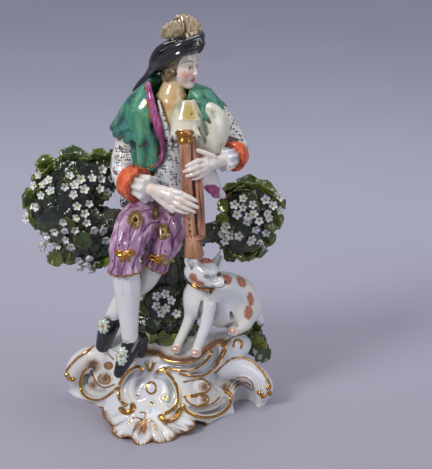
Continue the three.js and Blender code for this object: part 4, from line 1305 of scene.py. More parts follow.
def head_clay():
    clay = Clay((-14, -12, -17), (15, 12, 16), 0.33)
    clay.add(ball((-0.5, 0, 2.5), (10, 8.4, 10.4)), 0, "skin")
    clay.add(ball((2.6, 0, -5.4), (6.4, 6.1, 7)), 4, "skin")
    clay.add(ball((6.4, 0, -10.4), (2.5, 2.7, 2.1)), 2, "skin")
    for side in (-1, 1):
        clay.add(ball((5.4, 4.1 * side, -3.6), (3.1, 2.7, 3)), 2.5, "skin")
        clay.carve(ball((9.5, 3.4 * side, 0.6), (1.9, 2.0, 1.35)), 1.8)
        clay.add(ball((7.0, 3.3 * side, 0.45), 1.85), 0.2, "eye")
        lid = [(7.6, 1.4 * side, 0.3, 0.3), (8.9, 2.8 * side, 1.5, 0.42), (8.3, 4.4 * side, 1.2, 0.4),
               (6.8, 5.3 * side, 0.3, 0.3)]
        clay.add(tube(lid, 0.7), 0.5, "skin")
        lid = [(7.6, 1.5 * side, 0.1, 0.26), (8.6, 3.1 * side, -0.75, 0.32), (7.2, 5.0 * side, -0.1, 0.26)]
        clay.add(tube(lid, 0.7), 0.5, "skin")
        clay.add(tube([(9.0, 1.6 * side, 2.9, 0.7), (8.5, 3.8 * side, 3.4, 0.8), (6.6, 5.9 * side, 2.6, 0.5)]), 1.4, "skin")
        clay.add(ball((10.0, 1.05 * side, -3.6), (0.9, 0.75, 0.7)), 0.5, "skin")
        ear = [(-0.2, 8.2 * side, 1.6, 0.6), (-1.6, 8.9 * side, 1.4, 0.65), (-1.8, 8.9 * side, -1, 0.6),
               (-0.4, 8.3 * side, -3, 0.7)]
        clay.add(ball((-0.8, 8.0 * side, -0.8), (1.6, 0.8, 2.8)), 0.6, "skin")
        clay.add(tube(ear, 0.7), 0.3, "skin")
    clay.add(tube([(9.0, 0, 2.0, 0.9), (10.1, 0, -0.9, 0.8), (11.0, 0, -3.0, 0.9)], 0.8), 1.3, "skin")
    clay.carve(tube([(10.0, -0.1, -5.0, 0.3), (9.7, 0.1, -5.9, 0.35)]), 0.6)
    clay.add(tube([(8.3, -2.0, -6.9, 0.25), (9.35, -0.6, -6.45, 0.48), (9.35, 0.6, -6.45, 0.48), (8.3, 2.0, -6.9, 0.25)], 0.6),
             0.5, "lips")
    clay.add(tube([(8.3, -1.6, -7.2, 0.25), (9.05, 0, -7.6, 0.58), (8.3, 1.6, -7.2, 0.25)], 0.6), 0.5, "lips")
    clay.carve(tube([(8.6, -2.2, -6.95, 0.15), (10.5, 0, -7.0, 0.2), (8.6, 2.2, -6.95, 0.15)], 0.6), 0.3)
    # Hair: a full mass with locks swept from the temples to a bunch at the nape
    clay.add(ball((-3.6, 0, 1.0), (8.8, 8.9, 9.6)), 0.5, "hair")
    for side in (-1, 1):
        for k in range(8):
            top = 9.5 - 1.9 * k
            lock = [(6.2 - 0.62 * k, (5.2 + 0.42 * k) * side, top * 0.8 + 1.6, 0.8),
                    (2.6 - 0.55 * k, (8.3 + 0.1 * k) * side, top * 0.75 - 0.3, 1.35),
                    (-3.6, (8.9 - 0.15 * k) * side, top * 0.62 - 2.2 + 0.6 * (k % 2), 1.45),
                    (-10.2, 3.4 * side, -4.5 - 0.5 * k, 1.0)]
            clay.add(tube(lock, 1.2), 0.6, "hair")
        for k in range(3):
            curl = [(1.6 - 1.9 * k, 8.6 * side, -2.5 - 0.9 * k, 1.2), (0.4 - 1.9 * k, 9.2 * side, -4.6 - k, 1.2),
                    (-1.4 - 1.9 * k, 8.6 * side, -5.4 - k, 1.1), (-2.6 - 1.9 * k, 8.0 * side, -4 - k, 0.9)]
            clay.add(tube(curl, 0.9), 0.4, "hair")
    for k in range(5):
        y = 1.5 * (k - 2)
        clay.add(tube([(-11, y, 4, 1.2), (-12, y * 0.9, -3, 1.4), (-10.6, y * 0.8, -9, 1.3), (-9.6, y * 0.5, -13, 1.0)]),
                 0.6, "hair")
    return clay


def head_marks(points):
    eyes = np.min([np.linalg.norm(points - (8.8, y, z - 0.05), axis=1) for _, y, z in EYES], axis=0)
    blush = np.min([np.linalg.norm((points - (7, 5.4 * side, -3.6)) / (3.8, 3.2, 2.9), axis=1) for side in (-1, 1)], axis=0)
    brows = np.full(len(points), FAR)
    lashes = np.full(len(points), FAR)
    for side in (-1, 1):
        brow = [(9.6, 1.5 * side, 3.2), (9.3, 3.6 * side, 4.1), (7.0, 6.0 * side, 3.1)]
        brows = np.minimum(brows, line_distance(smooth_path(brow, 0.6), points, 3))
        lash = [(8.3, 1.6 * side, 0.7), (9.3, 2.9 * side, 1.6), (8.7, 4.3 * side, 1.3), (7.2, 5.4 * side, 0.4)]
        lashes = np.minimum(lashes, line_distance(smooth_path(lash, 0.6), points, 3))
    return {"eye_out": eyes, "blush": blush, "brow": brows, "lash": lashes}


def head_material():
    paint = Paint("head_glaze", 0.16, 0.45)
    skin = paint.over(enamel("efe4dc"), enamel("ecd3c4"), paint.rise(paint.noise(7, 2, shift=2.0), 0.48, 0.66), 0.6)
    # Painted shade in the hollows of the face
    skin = paint.over(skin, enamel("b88a72"), paint.rise(paint.mark("hollow"), 0.12, 0.6), 0.5)
    skin = paint.over(skin, enamel("e6876a"), paint.rise(paint.mark("blush"), 1.25, 0.2), 0.75)
    strand = paint.noise(1.3, 3, stretch=(2.4, 1, 0.8), shift=7.0)
    hair = paint.over(enamel("8b7453"), enamel("5b4732"), paint.rise(strand, 0.42, 0.6))
    hair = paint.over(hair, enamel("b09a76"), paint.rise(strand, 0.4, 0.32), 0.7)
    # Painted shade between the locks of hair
    hair = paint.over(hair, enamel("3e2f22"), paint.rise(paint.mark("hollow"), 0.1, 0.6), 0.8)
    colour = paint.over(skin, enamel("f2f0ee"), region(paint, "eye", 0.1, 0.05))
    iris = paint.both(paint.rise(paint.mark("eye_out"), 1.0, 0.85), region(paint, "eye", 0.1, 0.05))
    colour = paint.over(colour, enamel("4a3a34"), iris)
    colour = paint.over(colour, enamel("0c0b10"), paint.rise(paint.mark("eye_out"), 0.62, 0.5))
    colour = paint.over(colour, enamel("c0534a"), region(paint, "lips", 0.12, 0.1), 0.9)
    colour = paint.over(colour, enamel("5c4638"), paint.rise(paint.mark("lash"), 0.3, 0.16), 0.85)
    colour = paint.over(colour, enamel("6b5340"), paint.rise(paint.mark("brow"), 0.42, 0.2), 0.8)
    colour = paint.over(colour, hair, region(paint, "hair", 0.2, 0.5))
    roughness = paint.maths("ADD", 0.1, paint.maths("MULTIPLY", paint.noise(4, 3), 0.14))
    return paint.finish(colour, roughness, None, glaze_height(paint), 0.08)


# Cap, with its hanging tail and a plume of two fans
CAP_LOOP = [(25, -1.5, 220.5), (15, -6.2, 217.5), (4.5, -2, 210.8), (-2, 8, 204.5), (1, 17, 207), (13, 17.5, 216), (24, 9, 221)]
PLUME_FANS = [
    ((14.5, 7, 222), [(3.6, 7.5, 224.3), (4.6, 7, 228.2), (7.8, 7, 230.8), (11.6, 6.5, 231.8), (15, 6, 230.4)]),
    ((17, 8, 223), [(9.6, 11, 231.4), (12.4, 10, 234.2), (17, 9, 234.6), (20.8, 8, 233.2), (23.5, 7, 231.2),
                    (25, 6.5, 228.5), (23.4, 6, 224.8)]),
    ((16, 12, 222), [(8, 15.5, 227), (11, 17, 230.5), (16, 17.5, 231.5), (21, 16, 229.5), (23, 14, 225.5)]),
]


def hat_clay():
    clay = Clay((-17, -13, 186), (33, 24, 237), 0.45)
    clay.add(ball((12, 7.5, 216), (13, 10.8, 7.6), (0, -18, 0)), 0, "cap")
    clay.add(tube([(x, y, z, 2.3) for x, y, z in CAP_LOOP], closed=True), 2.5, "cap")
    clay.add(tube([(x * 0.98 + 0.2, (y - 7) * 0.97 + 7, z + 4.2, 2.3) for x, y, z in CAP_LOOP], closed=True), 2.5, "cap")
    clay.add(tube([(21.8, -2.4, 224.6, 2.0), (24.4, -2.2, 222.8, 2.4), (24.8, -2.4, 219.2, 2.1), (24.2, -2.6, 217.2, 1.2)]),
             0.8, "cap")
    for fold in (
        [(22, -6, 221.5, 0.5), (12, -8.6, 218, 0.8), (2, -3.6, 211.5, 0.8), (-3.5, 6, 205.5, 0.5)],
        [(20, -4.6, 224.2, 0.4), (9, -6.5, 222, 0.7), (0, -0.6, 214, 0.7), (-3, 8, 208, 0.4)],
    ):
        clay.carve(tube(fold), 1.4)
    clay.add(tube([(12, -4.6, 223.6, 0.6), (3, -2.2, 219.8, 1.2), (-2, 3, 212.5, 1.3), (-3.6, 9, 205, 0.9)]), 1.0, "cap")
    for lean in (0, 1):
        tail = [(-1, 9 + 2 * lean, 205.5, 3.4), (-5, 12 + 2 * lean, 200 - lean, 2.6),
                (-9.5, 14.5 + 2.5 * lean, 195.5 - 2 * lean, 2.0), (-13, 16 + 3 * lean, 191.5 - 2 * lean, 1.2)]
        clay.add(tube(tail), 1.0, "cap")
    for root, tips in PLUME_FANS:
        rim = smooth_path(tips, 1.6)
        for k, tip in enumerate(rim):
            start = np.array(root, float)
            bend = start + (tip - start) * 0.55 + (0, -1.2, 0.6)
            curl = tip + (0, -0.6, 0.5 * (k % 2))
            clay.add(tube([(*start, 1.6), (*bend, 1.5), (*curl, 1.15)]), 0.6, "plume")
    for x, z, low in ((18.5, 224, 219.8), (21, 224.5, 220.6), (23, 225, 221.6)):
        clay.add(tube([(x - 1, 0.5, z + 2, 1.1), (x, -3.4, z - 0.5, 1.0), (x + 0.4, -5.6, low, 0.6)]), 0.5, "plume")
    return clay


def hat_material():
    paint = Paint("cap_glaze", 0.08, 0.8)
    black = paint.over(enamel("14131a"), enamel("2a2932"), paint.rise(paint.noise(5, 3, shift=1.0), 0.52, 0.72))
    streak = paint.noise(1.0, 3, stretch=(1, 1, 2), shift=3.0)
    plume = paint.over(enamel("b3a384"), enamel("8a7456"), paint.rise(streak, 0.4, 0.62))
    plume = paint.over(plume, enamel("d6c7a6"), paint.rise(paint.noise(3, 2, shift=5.0), 0.54, 0.68), 0.6)
    plume = paint.over(plume, enamel("c4a76c"), paint.rise(paint.noise(4, 2, shift=8.0), 0.56, 0.7), 0.5)
    # Painted shade between the strands of the plume
    plume = paint.over(plume, enamel("4c3d28"), paint.rise(paint.mark("hollow"), 0.02, 0.55), 0.85)
    colour = paint.over(black, plume, region(paint, "plume", 0.2, 0.4))
    roughness = paint.maths("ADD", 0.06, paint.maths("MULTIPLY", paint.noise(5, 3), 0.14))
    return paint.finish(colour, roughness, None, glaze_height(paint), 0.1)


# Bagpipe
PIPES = [
    [(16.4, -17.4, 172, 3.9), (16.7, -18.3, 166, 3.5), (17.2, -18.8, 152, 3.2), (18.6, -19.4, 128, 3.2),
     (19.8, -19.9, 115, 3.4)],
    [(20.2, -16.8, 170, 2.4), (22.6, -16.8, 154, 2.7), (24.2, -17.6, 136, 2.8), (24.8, -18.2, 116, 3.0)],
]


def bag_clay():
    clay = Clay((4, -23, 150), (46, 17, 199), 0.6)
    clay.add(ball((26, -1, 173), (15.5, 10, 16), (0, 25, 0)), 0, "bag")
    clay.add(ball((17.5, -7.5, 179), (7.4, 6.4, 11.5), (0, -12, 0)), 3, "bag")
    clay.add(ball((29, -5, 166), (9, 6, 9)), 4, "bag")
    for k in range(15):
        angle = math.radians(165 + 14.5 * k)
        out = np.array([math.cos(angle), 0.75 * math.sin(angle), 0])
        top = np.array([17.8, -8.5, 190]) + out * 3.4
        middle = np.array([17.6, -9, 181]) + out * 7.2
        waist = np.array([17.2, -10.5, 176]) + out * 7.0
        end = np.array([17.2, -11.5, 171.2 + 1.6 * (k % 2)]) + out * 8.6
        clay.add(tube([(*top, 1.2), (*middle, 1.7)]), 1.1, "bag")
        clay.add(tube([(*middle, 1.6), (*waist, 1.5), (*end, 0.8)]), 0.7, "fringe")
    for k in range(4):
        crease = [(20 + 4 * k, -13 + 2 * k, 184 - k, 0.4), (23 + 4 * k, -12.5 + 2.4 * k, 176, 0.9), (27 + 3 * k, -11 + 2 * k, 168, 0.4)]
        clay.carve(tube(crease), 2.4)
    return clay


def bag_material():
    paint = Paint("bag_glaze")
    colour = cloth(paint, "dcdac6", "a3a792", "ece9dc", size=8, shift=3)
    colour = paint.over(colour, enamel("c9ab4c"), paint.rise(paint.mark("yellow"), 0.0, 0.7), 0.85)
    colour = paint.over(colour, enamel("e9e6d6"), region(paint, "fringe", 0.3, 0.6), 0.9)
    # Painted shade in the gaps between the fringe's tassels
    fringe_gap_shade = paint.both(paint.rise(paint.mark("hollow"), 0.05, 0.5), region(paint, "fringe", 0.4, 0.4))
    colour = paint.over(colour, enamel("b3aa78"), fringe_gap_shade, 0.7)
    # Painted shade: green-grey over the lower part of the bag
    colour = paint.over(colour, enamel("8f9a84"), paint.rise(paint.mark("low"), 0.0, 1.0), 0.55)
    roughness = paint.maths("ADD", 0.09, paint.maths("MULTIPLY", paint.noise(5, 3), 0.16))
    return paint.finish(colour, roughness, None, glaze_height(paint), 0.12)


def bag_marks(points):
    yellow = 1 - spot_distance(points, (18.8, -14, 184.5), (6.6, 9.5))
    # low: painted shade towards the bag's underside
    low = 1 - np.linalg.norm((points - (28, -8, 160)) / (14, 14, 9), axis=1)
    return {"yellow": yellow, "low": low}


def pipes_clay():
    clay = Clay((8, -29, 96), (32, -8, 180), 0.42)
    for k, pipe in enumerate(PIPES):
        clay.add(tube(pipe), 0, "pipe")
    clay.add(drum((20.3, -19.8, 116), (21.4, -20, 103.5), 4.2, 5.8, 1.2), 1.2, "pipe")
    clay.carve(ball((21.5, -20, 102.5), (4.4, 4.4, 2.4)), 0.6)
    for z, swell in ((114.5, 5.6), (112.4, 5.2)):
        x = 17.2 + (152 - z) * 0.07 + 1.5
        clay.add(tube([(x + 3.4 * math.cos(t), -19.2 + 2.6 * math.sin(t), z, 1.1) for t in np.linspace(0, 5.5, 8)],
                      closed=True), 0.4, "pipe")
        clay.add(ball((x, -19.2, z), (swell, swell * 0.8, 1.2)), 0.4, "pipe")
    for z, radius in ((174.6, 5.4), (170.2, 5.0)):
        clay.add(drum((16.4, -17.5, z - 1.4), (16.3, -17.2, z + 1.4), radius, radius, 1.3), 0.3, "collar")
    clay.add(drum((16.4, -17.5, 170), (16.3, -17.2, 176.5), 4.1, 4.3, 0.5), 0.3, "collar")
    for k in range(9):
        z = 148 - 3.6 * k
        share = (152 - z) / 24
        clay.carve(ball((17.2 + 1.4 * share, -22.3 - 0.5 * share, z), (0.85, 0.7, 0.85)), 0.2)
    for fraction in (0.25, 0.5, 0.75):
        for start, end in ((PIPES[0][1], PIPES[0][-1]), (PIPES[1][0], PIPES[1][-1])):
            a, b = np.array(start), np.array(end)
            angle = math.radians(200 + 140 * fraction)
            out = np.array([math.cos(angle), math.sin(angle), 0])
            clay.carve(tube([(*(a[:3] + out * a[3]), 0.28), (*(b[:3] + out * b[3]), 0.28)], 6), 0.4)
    return clay


def pipes_material():
    paint = Paint("pipes_glaze")
    # Painted highlight and shade: pale and dark streaks running along the pipes
    sheen_and_shade_streaks = paint.noise(2.4, 3, stretch=(1, 1, 6), shift=2.0)
    colour = paint.over(enamel("c08768"), enamel("8e5540"), paint.rise(sheen_and_shade_streaks, 0.46, 0.66), 0.8)
    colour = paint.over(colour, enamel("dcb391"), paint.rise(sheen_and_shade_streaks, 0.42, 0.32), 0.7)
    colour = paint.over(colour, enamel("9a7048"), paint.rise(paint.mark("low"), 0.0, 1.0), 0.6)
    # Painted shade in the grooves and hollows of the pipes
    colour = paint.over(colour, enamel("4f2d20"), paint.rise(paint.mark("hollow"), 0.05, 0.5), 0.85)
    colour, metal = gilding(paint, colour, region(paint, "collar", 0.1, 0.05))
    return paint.finish(colour, None, paint.maths("MULTIPLY", metal, 0.9), glaze_height(paint), 0.08)


def pipes_marks(points):
    return {"low": (118 - points[:, 2]) / 14}


# Dog
DOG_BODY = [(24, -2, 72, 9), (34, 4, 76, 9.8), (46, 12, 69, 11.2), (50, 14, 60, 11)]
DOG_NECK = [(23, -3, 76, 7.6), (25.5, -6, 86, 6.8)]
DOG_HEAD = [(21.8, -6, 89.8, 6.8), (27, -8.5, 90.8, 7.8), (31.8, -11, 87.4, 5.0), (36.2, -13.2, 85.4, 3.0)]
DOG_LEGS = [
    [(20, -5, 71, 4.6), (18.2, -6, 61, 3.5), (14.2, -8, 52, 2.8), (11.5, -9.6, 46.5, 2.7)],
    [(29, -8, 70, 4.8), (28, -11, 60, 3.5), (25, -13.5, 52, 2.9), (22.8, -15, 46.5, 2.7)],
]
DOG_PAWS = [((10.2, -11, 43.6), (3.3, 3.8, 2.9), 0), ((21.8, -16.5, 43.6), (3.3, 3.8, 2.9), 10), ((43.6, -0.5, 51), (3.6, 4.4, 3.2), 35)]
DOG_EYES = [(28.4, 90.2), (35.4, 90.4)]
DOG_NOSE = (38.6, -14.2, 86.2)
DOG_MOUTH = [(31.5, 84.2), (35, 83.2), (38.8, 84.2)]
DOG_COLLAR = [(17.6, -2.5, 83.4), (18.6, -9.4, 83.6), (23.4, -12.8, 82), (29.4, -12, 80.4), (32.4, -7.4, 80),
              (29.6, -1.6, 80.6), (23, 1.6, 82)]
DOG_EARS = [
    [(20.8, -7.6, 92.6, 3.3), (18.4, -7.6, 97, 3.2), (17.6, -7.4, 100.6, 1.1)],
    [(33, -5, 93.4, 3.2), (35.8, -4.2, 98, 2.3), (36.8, -3.8, 102, 0.8)],
]
DOG_PATCHES = [
    ((28, -8.5, 98.4), (6, 6, 3.4)), ((21, -12, 88.6), (3.2, 4, 3.6)), ((24, -14, 85.4), (4.2, 3.4, 2.2)),
    ((39.5, 0, 83), (4.5, 5, 3.4)), ((48.5, 6, 80), (3.6, 5, 4)), ((54.5, 2, 70), (3, 4.5, 5.2)),
    ((53, 0, 62), (3, 4, 5)), ((37.4, -6, 68), (2.6, 3, 2.8)), ((33, -6, 61), (1.8, 3, 4)), ((44, 20, 80), (7, 5, 5)),
    ((56, 20, 68), (5, 6, 6)), ((30, 8, 74), (5, 4, 5)),
]


def dog_clay():
    clay = Clay((4, -24, 38), (66, 29, 104), 0.5)
    clay.add(tube(DOG_BODY), 0, "coat")
    clay.add(ball((22.5, -4, 70), (7.8, 8, 10)), 3, "coat")
    clay.add(ball((37, 5, 62), (11, 8, 11)), 4, "coat")
    clay.add(tube(DOG_NECK), 3, "coat")
    clay.add(tube(DOG_HEAD), 1.5, "coat")
    clay.add(ball((30, -11.4, 85.6), (4.6, 3.8, 3)), 1.5, "coat")
    clay.add(ball((35.6, -13.6, 85.2), (3.4, 2.6, 2.5)), 1.0, "coat")
    clay.add(tube([(25.5, -15, 92.6, 0.8), (28.6, -15.8, 92.8, 1.0), (31, -14.6, 91.4, 0.7)]), 1.2, "coat")
    clay.carve(ball((32.6, -15.4, 88.4), (2.2, 1.6, 1.8)), 2)
    for ear in DOG_EARS:
        clay.add(tube([(x, y, z, r) for x, y, z, r in ear]), 1.0, "coat")
        clay.carve(tube([(x + 0.2, y - 0.95 * r, z + 0.4, 0.5 * r) for x, y, z, r in ear[:-1]]), 0.6)
    for leg in DOG_LEGS:
        clay.add(tube(leg), 1.8, "coat")
    clay.add(ball((48.5, 8, 60), (9.4, 8.4, 13)), 1.5, "coat")
    clay.add(ball((49, 20, 60), (9, 8, 13)), 1.5, "coat")
    clay.add(tube([(50, 4, 54, 5), (46.5, 2, 51.5, 3.6), (44, 0.6, 51, 3.2)]), 1.5, "coat")
    for centre, radii, turn in DOG_PAWS:
        clay.add(ball(centre, radii, (0, 0, turn)), 1.0, "coat")
        for k in range(3):
            x, y, z = centre
            shift = (k - 1) * 1.7
            clay.carve(tube([(x + shift - 0.8, y - radii[1] * 0.75, z + 2.2, 0.25), (x + shift - 0.8, y - radii[1] - 0.4, z - 1.5, 0.3)]), 0.5)
    tail = [(56, 19, 55, 3.4), (60, 21, 49, 2.8), (56, 26, 46, 2.4), (48, 27, 46, 1.8)]
    clay.add(tube(tail), 2, "coat")
    mouth = [(*clay.front(x, z), 0.28) for x, z in DOG_MOUTH]
    clay.carve(tube(mouth), 0.4)
    clay.add(ball(DOG_NOSE, (1.2, 1.2, 1.0)), 0.4, "nose")
    for x, z in DOG_EYES:
        spot = clay.front(x, z)
        clay.carve(ball(spot, (1.7, 1.0, 1.1)), 0.5)
        clay.add(ball(spot + (0, 0.75, 0), (1.35, 1.0, 1.0)), 0.1, "eye")
    clay.add(tube([(*p, 0.85) for p in DOG_COLLAR], closed=True), 0.3, "collar")
    clay.add(ball((30.6, -12.2, 79.4), 1.1), 0.2, "bell")
    for crease in (
        [(40.5, 2, 70, 0.3), (42, -0.5, 62, 0.8), (45.5, -0.5, 54, 0.3)],
        [(32, -5, 73, 0.3), (33.5, -4.5, 66, 0.7), (33, -4, 60, 0.3)],
        [(25.4, -11, 73, 0.3), (24.6, -11.5, 68, 0.6), (24, -9, 63.5, 0.4)],
    ):
        clay.carve(tube(crease), 2)
    return clay


def dog_marks(points):
    patch = np.full(len(points), 9.0)
    for centre, radii in DOG_PATCHES:
        patch = np.minimum(patch, np.linalg.norm((points - centre) / radii, axis=1))
    toes = np.full(len(points), 9.0)
    for centre, radii, _ in DOG_PAWS:
        front = np.array(centre) + (0, -radii[1] * 0.55, 0.8)
        toes = np.minimum(toes, np.linalg.norm((points - front) / (3.2, 2.6, 2.2), axis=1))
    rim = np.min([spot_distance(points, (x, -13, z), (1.2, 1.0), 0.1) for x, z in DOG_EYES], axis=0)
    mouth = line_distance(smooth_path([(x, -15, z) for x, z in DOG_MOUTH], 0.6), points, 3, 0.1)
    return {"patch": patch, "toes": toes, "eye_rim": rim, "mouth": mouth}


def dog_material():
    paint = Paint("dog_glaze")
    colour = porcelain_body(paint)
    ragged = paint.maths("ADD", paint.mark("patch"), paint.maths("MULTIPLY", paint.noise(2.6, 3, shift=3.0), 0.9))
    fur = paint.noise(1.2, 3, stretch=(1, 1, 2), shift=5.0)
    red = paint.over(enamel("c4744c"), enamel("8f3f22"), paint.rise(fur, 0.45, 0.62), 0.8)
    red = paint.over(red, enamel("e0a580"), paint.rise(fur, 0.42, 0.3), 0.7)
    colour = paint.over(colour, red, paint.rise(ragged, 1.5, 1.2), 0.92)
    colour = paint.over(colour, enamel("c98a6a"), paint.rise(paint.mark("toes"), 1.05, 0.7), 0.75)
    colour = paint.over(colour, enamel("5c2c26"), paint.rise(paint.mark("eye_rim"), 1.75, 1.35), 0.6)
    colour = paint.over(colour, enamel("4a1418"), region(paint, "eye", 0.1, 0.05))
    colour = paint.over(colour, enamel("1d1216"), region(paint, "nose", 0.1, 0.1))
    colour = paint.over(colour, enamel("3b2620"), paint.rise(paint.mark("mouth"), 0.5, 0.3), 0.7)
    colour = paint.over(colour, enamel("2a1c26"), region(paint, "bell", 0.1, 0.1))
    colour, metal = gilding(paint, colour, region(paint, "collar", 0.1, 0.05))
    roughness = paint.maths("ADD", 0.08, paint.maths("MULTIPLY", paint.noise(5, 3), 0.15))
    return paint.finish(colour, roughness, paint.maths("MULTIPLY", metal, 0.9), glaze_height(paint), 0.12)


# Tree stump and the dark core of the foliage, whose near-black is painted shade inside the crowns
LEFT_LUMPS = [((-47, 22, 137), (21, 7.5, 15)), ((-57, 20, 119), (18, 7.5, 18)), ((-42, 21, 102), (18, 7.5, 16))]
RIGHT_LUMPS = [((53, 22, 119), (15, 6.5, 15)), ((49, 21, 104), (14, 6.5, 12.5))]
LOW_LUMPS = [((0, 6, 66), (10, 6, 13)), ((-6, 4, 54), (9, 6, 7)), ((8, 4, 52), (8, 6, 7))]
LEFT_MIDDLE = (-49, 21, 120)
RIGHT_MIDDLE = (52, 22, 112)


def stump_clay():
    clay = Clay((-82, -8, 34), (74, 38, 158), 1.0)
    clay.add(tube([(5, 16, 38, 18), (6, 15, 60, 12.5), (5, 15, 88, 11.5), (0, 12, 114, 13.5)]), 0, "bark")
    for k in range(12):
        angle = 2 * math.pi * k / 12
        out = np.array([math.cos(angle), math.sin(angle), 0])
        clay.add(tube([(*(np.array([5, 16, 40]) + out * 17), 3), (*(np.array([6, 15, 60]) + out * 11.5), 2.2),
                       (*(np.array([5, 15, 88]) + out * 10.6), 1.8), (*(np.array([1, 12, 112]) + out * 12), 2)]), 2, "bark")
    for branch in (
        [(1, 20, 98, 9), (-20, 22, 110, 6.5), (-38, 23, 116, 5)],
        [(4, 20, 92, 8.5), (24, 22, 103, 6), (42, 22, 108, 5)],
    ):
        clay.add(tube(branch), 3, "bark")
    for lumps in (LEFT_LUMPS, RIGHT_LUMPS, LOW_LUMPS):
        for centre, radii in lumps:
            clay.add(ball(centre, radii), 3, "moss")
    clay.roughen((-82, -8, 34), (74, 38, 158), lambda p: 0.9 * ripple(p, 6, 3) + 0.5 * ripple(p, 3, 4))
    return clay


def stump_material():
    paint = Paint("stump_glaze", 0.2)
    bark = paint.over(enamel("4c4a34"), enamel("26281c"), paint.rise(paint.noise(5, 3, stretch=(1, 1, 3)), 0.4, 0.6))
    bark = paint.over(bark, enamel("7a7250"), paint.rise(paint.noise(4, 3, stretch=(1, 1, 3), shift=5.0), 0.56, 0.7), 0.7)
    # Painted shade: the core's dark green goes nearly black, as the shaded inside of the crowns
    moss = paint.over(enamel("1a2416"), enamel("2f3d1c"), paint.rise(paint.noise(6, 3, shift=2.0), 0.45, 0.62))
    moss = paint.over(moss, enamel("0b1210"), paint.rise(paint.noise(4, 2, shift=9.0), 0.5, 0.7), 0.8)
    colour = paint.over(bark, moss, region(paint, "moss", 1.5, 1.0))
    # Painted shade in the hollows of the stump and the core
    colour = paint.over(colour, enamel("0c0f0a"), paint.rise(paint.mark("hollow"), 0.1, 0.8), 0.7)
    return paint.finish(colour, None, None, paint.noise(2.2, 3), 0.3)


# Leaves and flowers: modelled petal by petal and leaf by leaf
LEAF_ROWS = 11
LEAF_COLUMNS = 7
FLOWER_RADIUS = 2.9
FLOWER_SPOKES = 20
PETALS = 5


class Spray:
    """Many small closed meshes gathered into one piece."""

    def __init__(self):
        self.points, self.faces, self.marks = [], [], {}
        self.count = 0

    def put(self, points, faces, **marks):
        self.points.append(points)
        self.faces.append(faces + self.count)
        self.count += len(points)
        for key, values in marks.items():
            self.marks.setdefault(key, []).append(np.broadcast_to(values, (len(points),)))

    def piece(self, name, material):
        marks = {key: np.concatenate(values) for key, values in self.marks.items()}
        return settle(mesh_object(name, np.vstack(self.points), np.vstack(self.faces), marks), material)


def frame_facing(normal, upward):
    """Rows: side, along and normal of a small form's own frame."""
    normal = unit(normal)
    along = np.asarray(upward, float) - normal * np.dot(upward, normal)
    along = unit(along)
    return np.stack([np.cross(along, normal), along, normal])


def add_leaf(spray, root, upward, normal, length, width, random, curl=0.25, lobes=3):
    """A thick lobed leaf with a keel, from its root along upward, facing normal."""
    u = np.linspace(0, 1, LEAF_ROWS)
    v = np.linspace(-1, 1, LEAF_COLUMNS)
    grid_u, grid_v = np.meshgrid(u, v, indexing="ij")
    outline = np.sin(math.pi * np.clip(grid_u, 0, 1) ** 0.85) ** 0.62
    outline = np.clip(outline, 0.06, None) * (1 + 0.13 * np.cos(2 * math.pi * (lobes * grid_u - 0.25 + random.uniform(-0.1, 0.1))))
    x = 0.5 * width * outline * grid_v
    y = length * (grid_u + 0.04 * grid_v**2 * np.sin(math.pi * grid_u))
    keel = 0.16 * width * np.abs(grid_v) ** 1.3 * outline
    wave = 0.05 * width * np.abs(grid_v) * np.sin(2 * math.pi * lobes * grid_u + random.uniform(0, 6))
    z = keel + wave - curl * length * grid_u**2 + 0.02 * width * np.cos(2 * math.pi * 5 * grid_u) * (1 - np.abs(grid_v))
    top = np.stack([x, y, z], axis=-1).reshape(-1, 3)
    thickness = 0.75 * (1 - 0.55 * np.abs(grid_v)).reshape(-1)
    bottom = top - np.stack([np.zeros_like(thickness), np.zeros_like(thickness), thickness], axis=1)
    local = np.vstack([top, bottom])
    rows = frame_facing(normal, upward)
    points = np.asarray(root, float) + local @ rows
    index = np.arange(LEAF_ROWS * LEAF_COLUMNS).reshape(LEAF_ROWS, LEAF_COLUMNS)
    lift = LEAF_ROWS * LEAF_COLUMNS
    quads = np.stack([index[:-1, :-1], index[:-1, 1:], index[1:, 1:], index[1:, :-1]], axis=-1).reshape(-1, 4)
    ring = np.concatenate([index[0, :], index[1:, -1], index[-1, -2::-1], index[-2:0:-1, 0]])
    ahead = np.roll(ring, -1)
    edge = np.stack([ring, ring + lift, ahead + lift, ahead], axis=1)
    faces = np.vstack([quads, quads[:, ::-1] + lift, edge])
    across = np.tile(np.abs(grid_v).reshape(-1), 2)
    along = np.tile(grid_u.reshape(-1), 2)
    spray.put(points, faces, across=across, along=along, tone=random.uniform(0, 1))


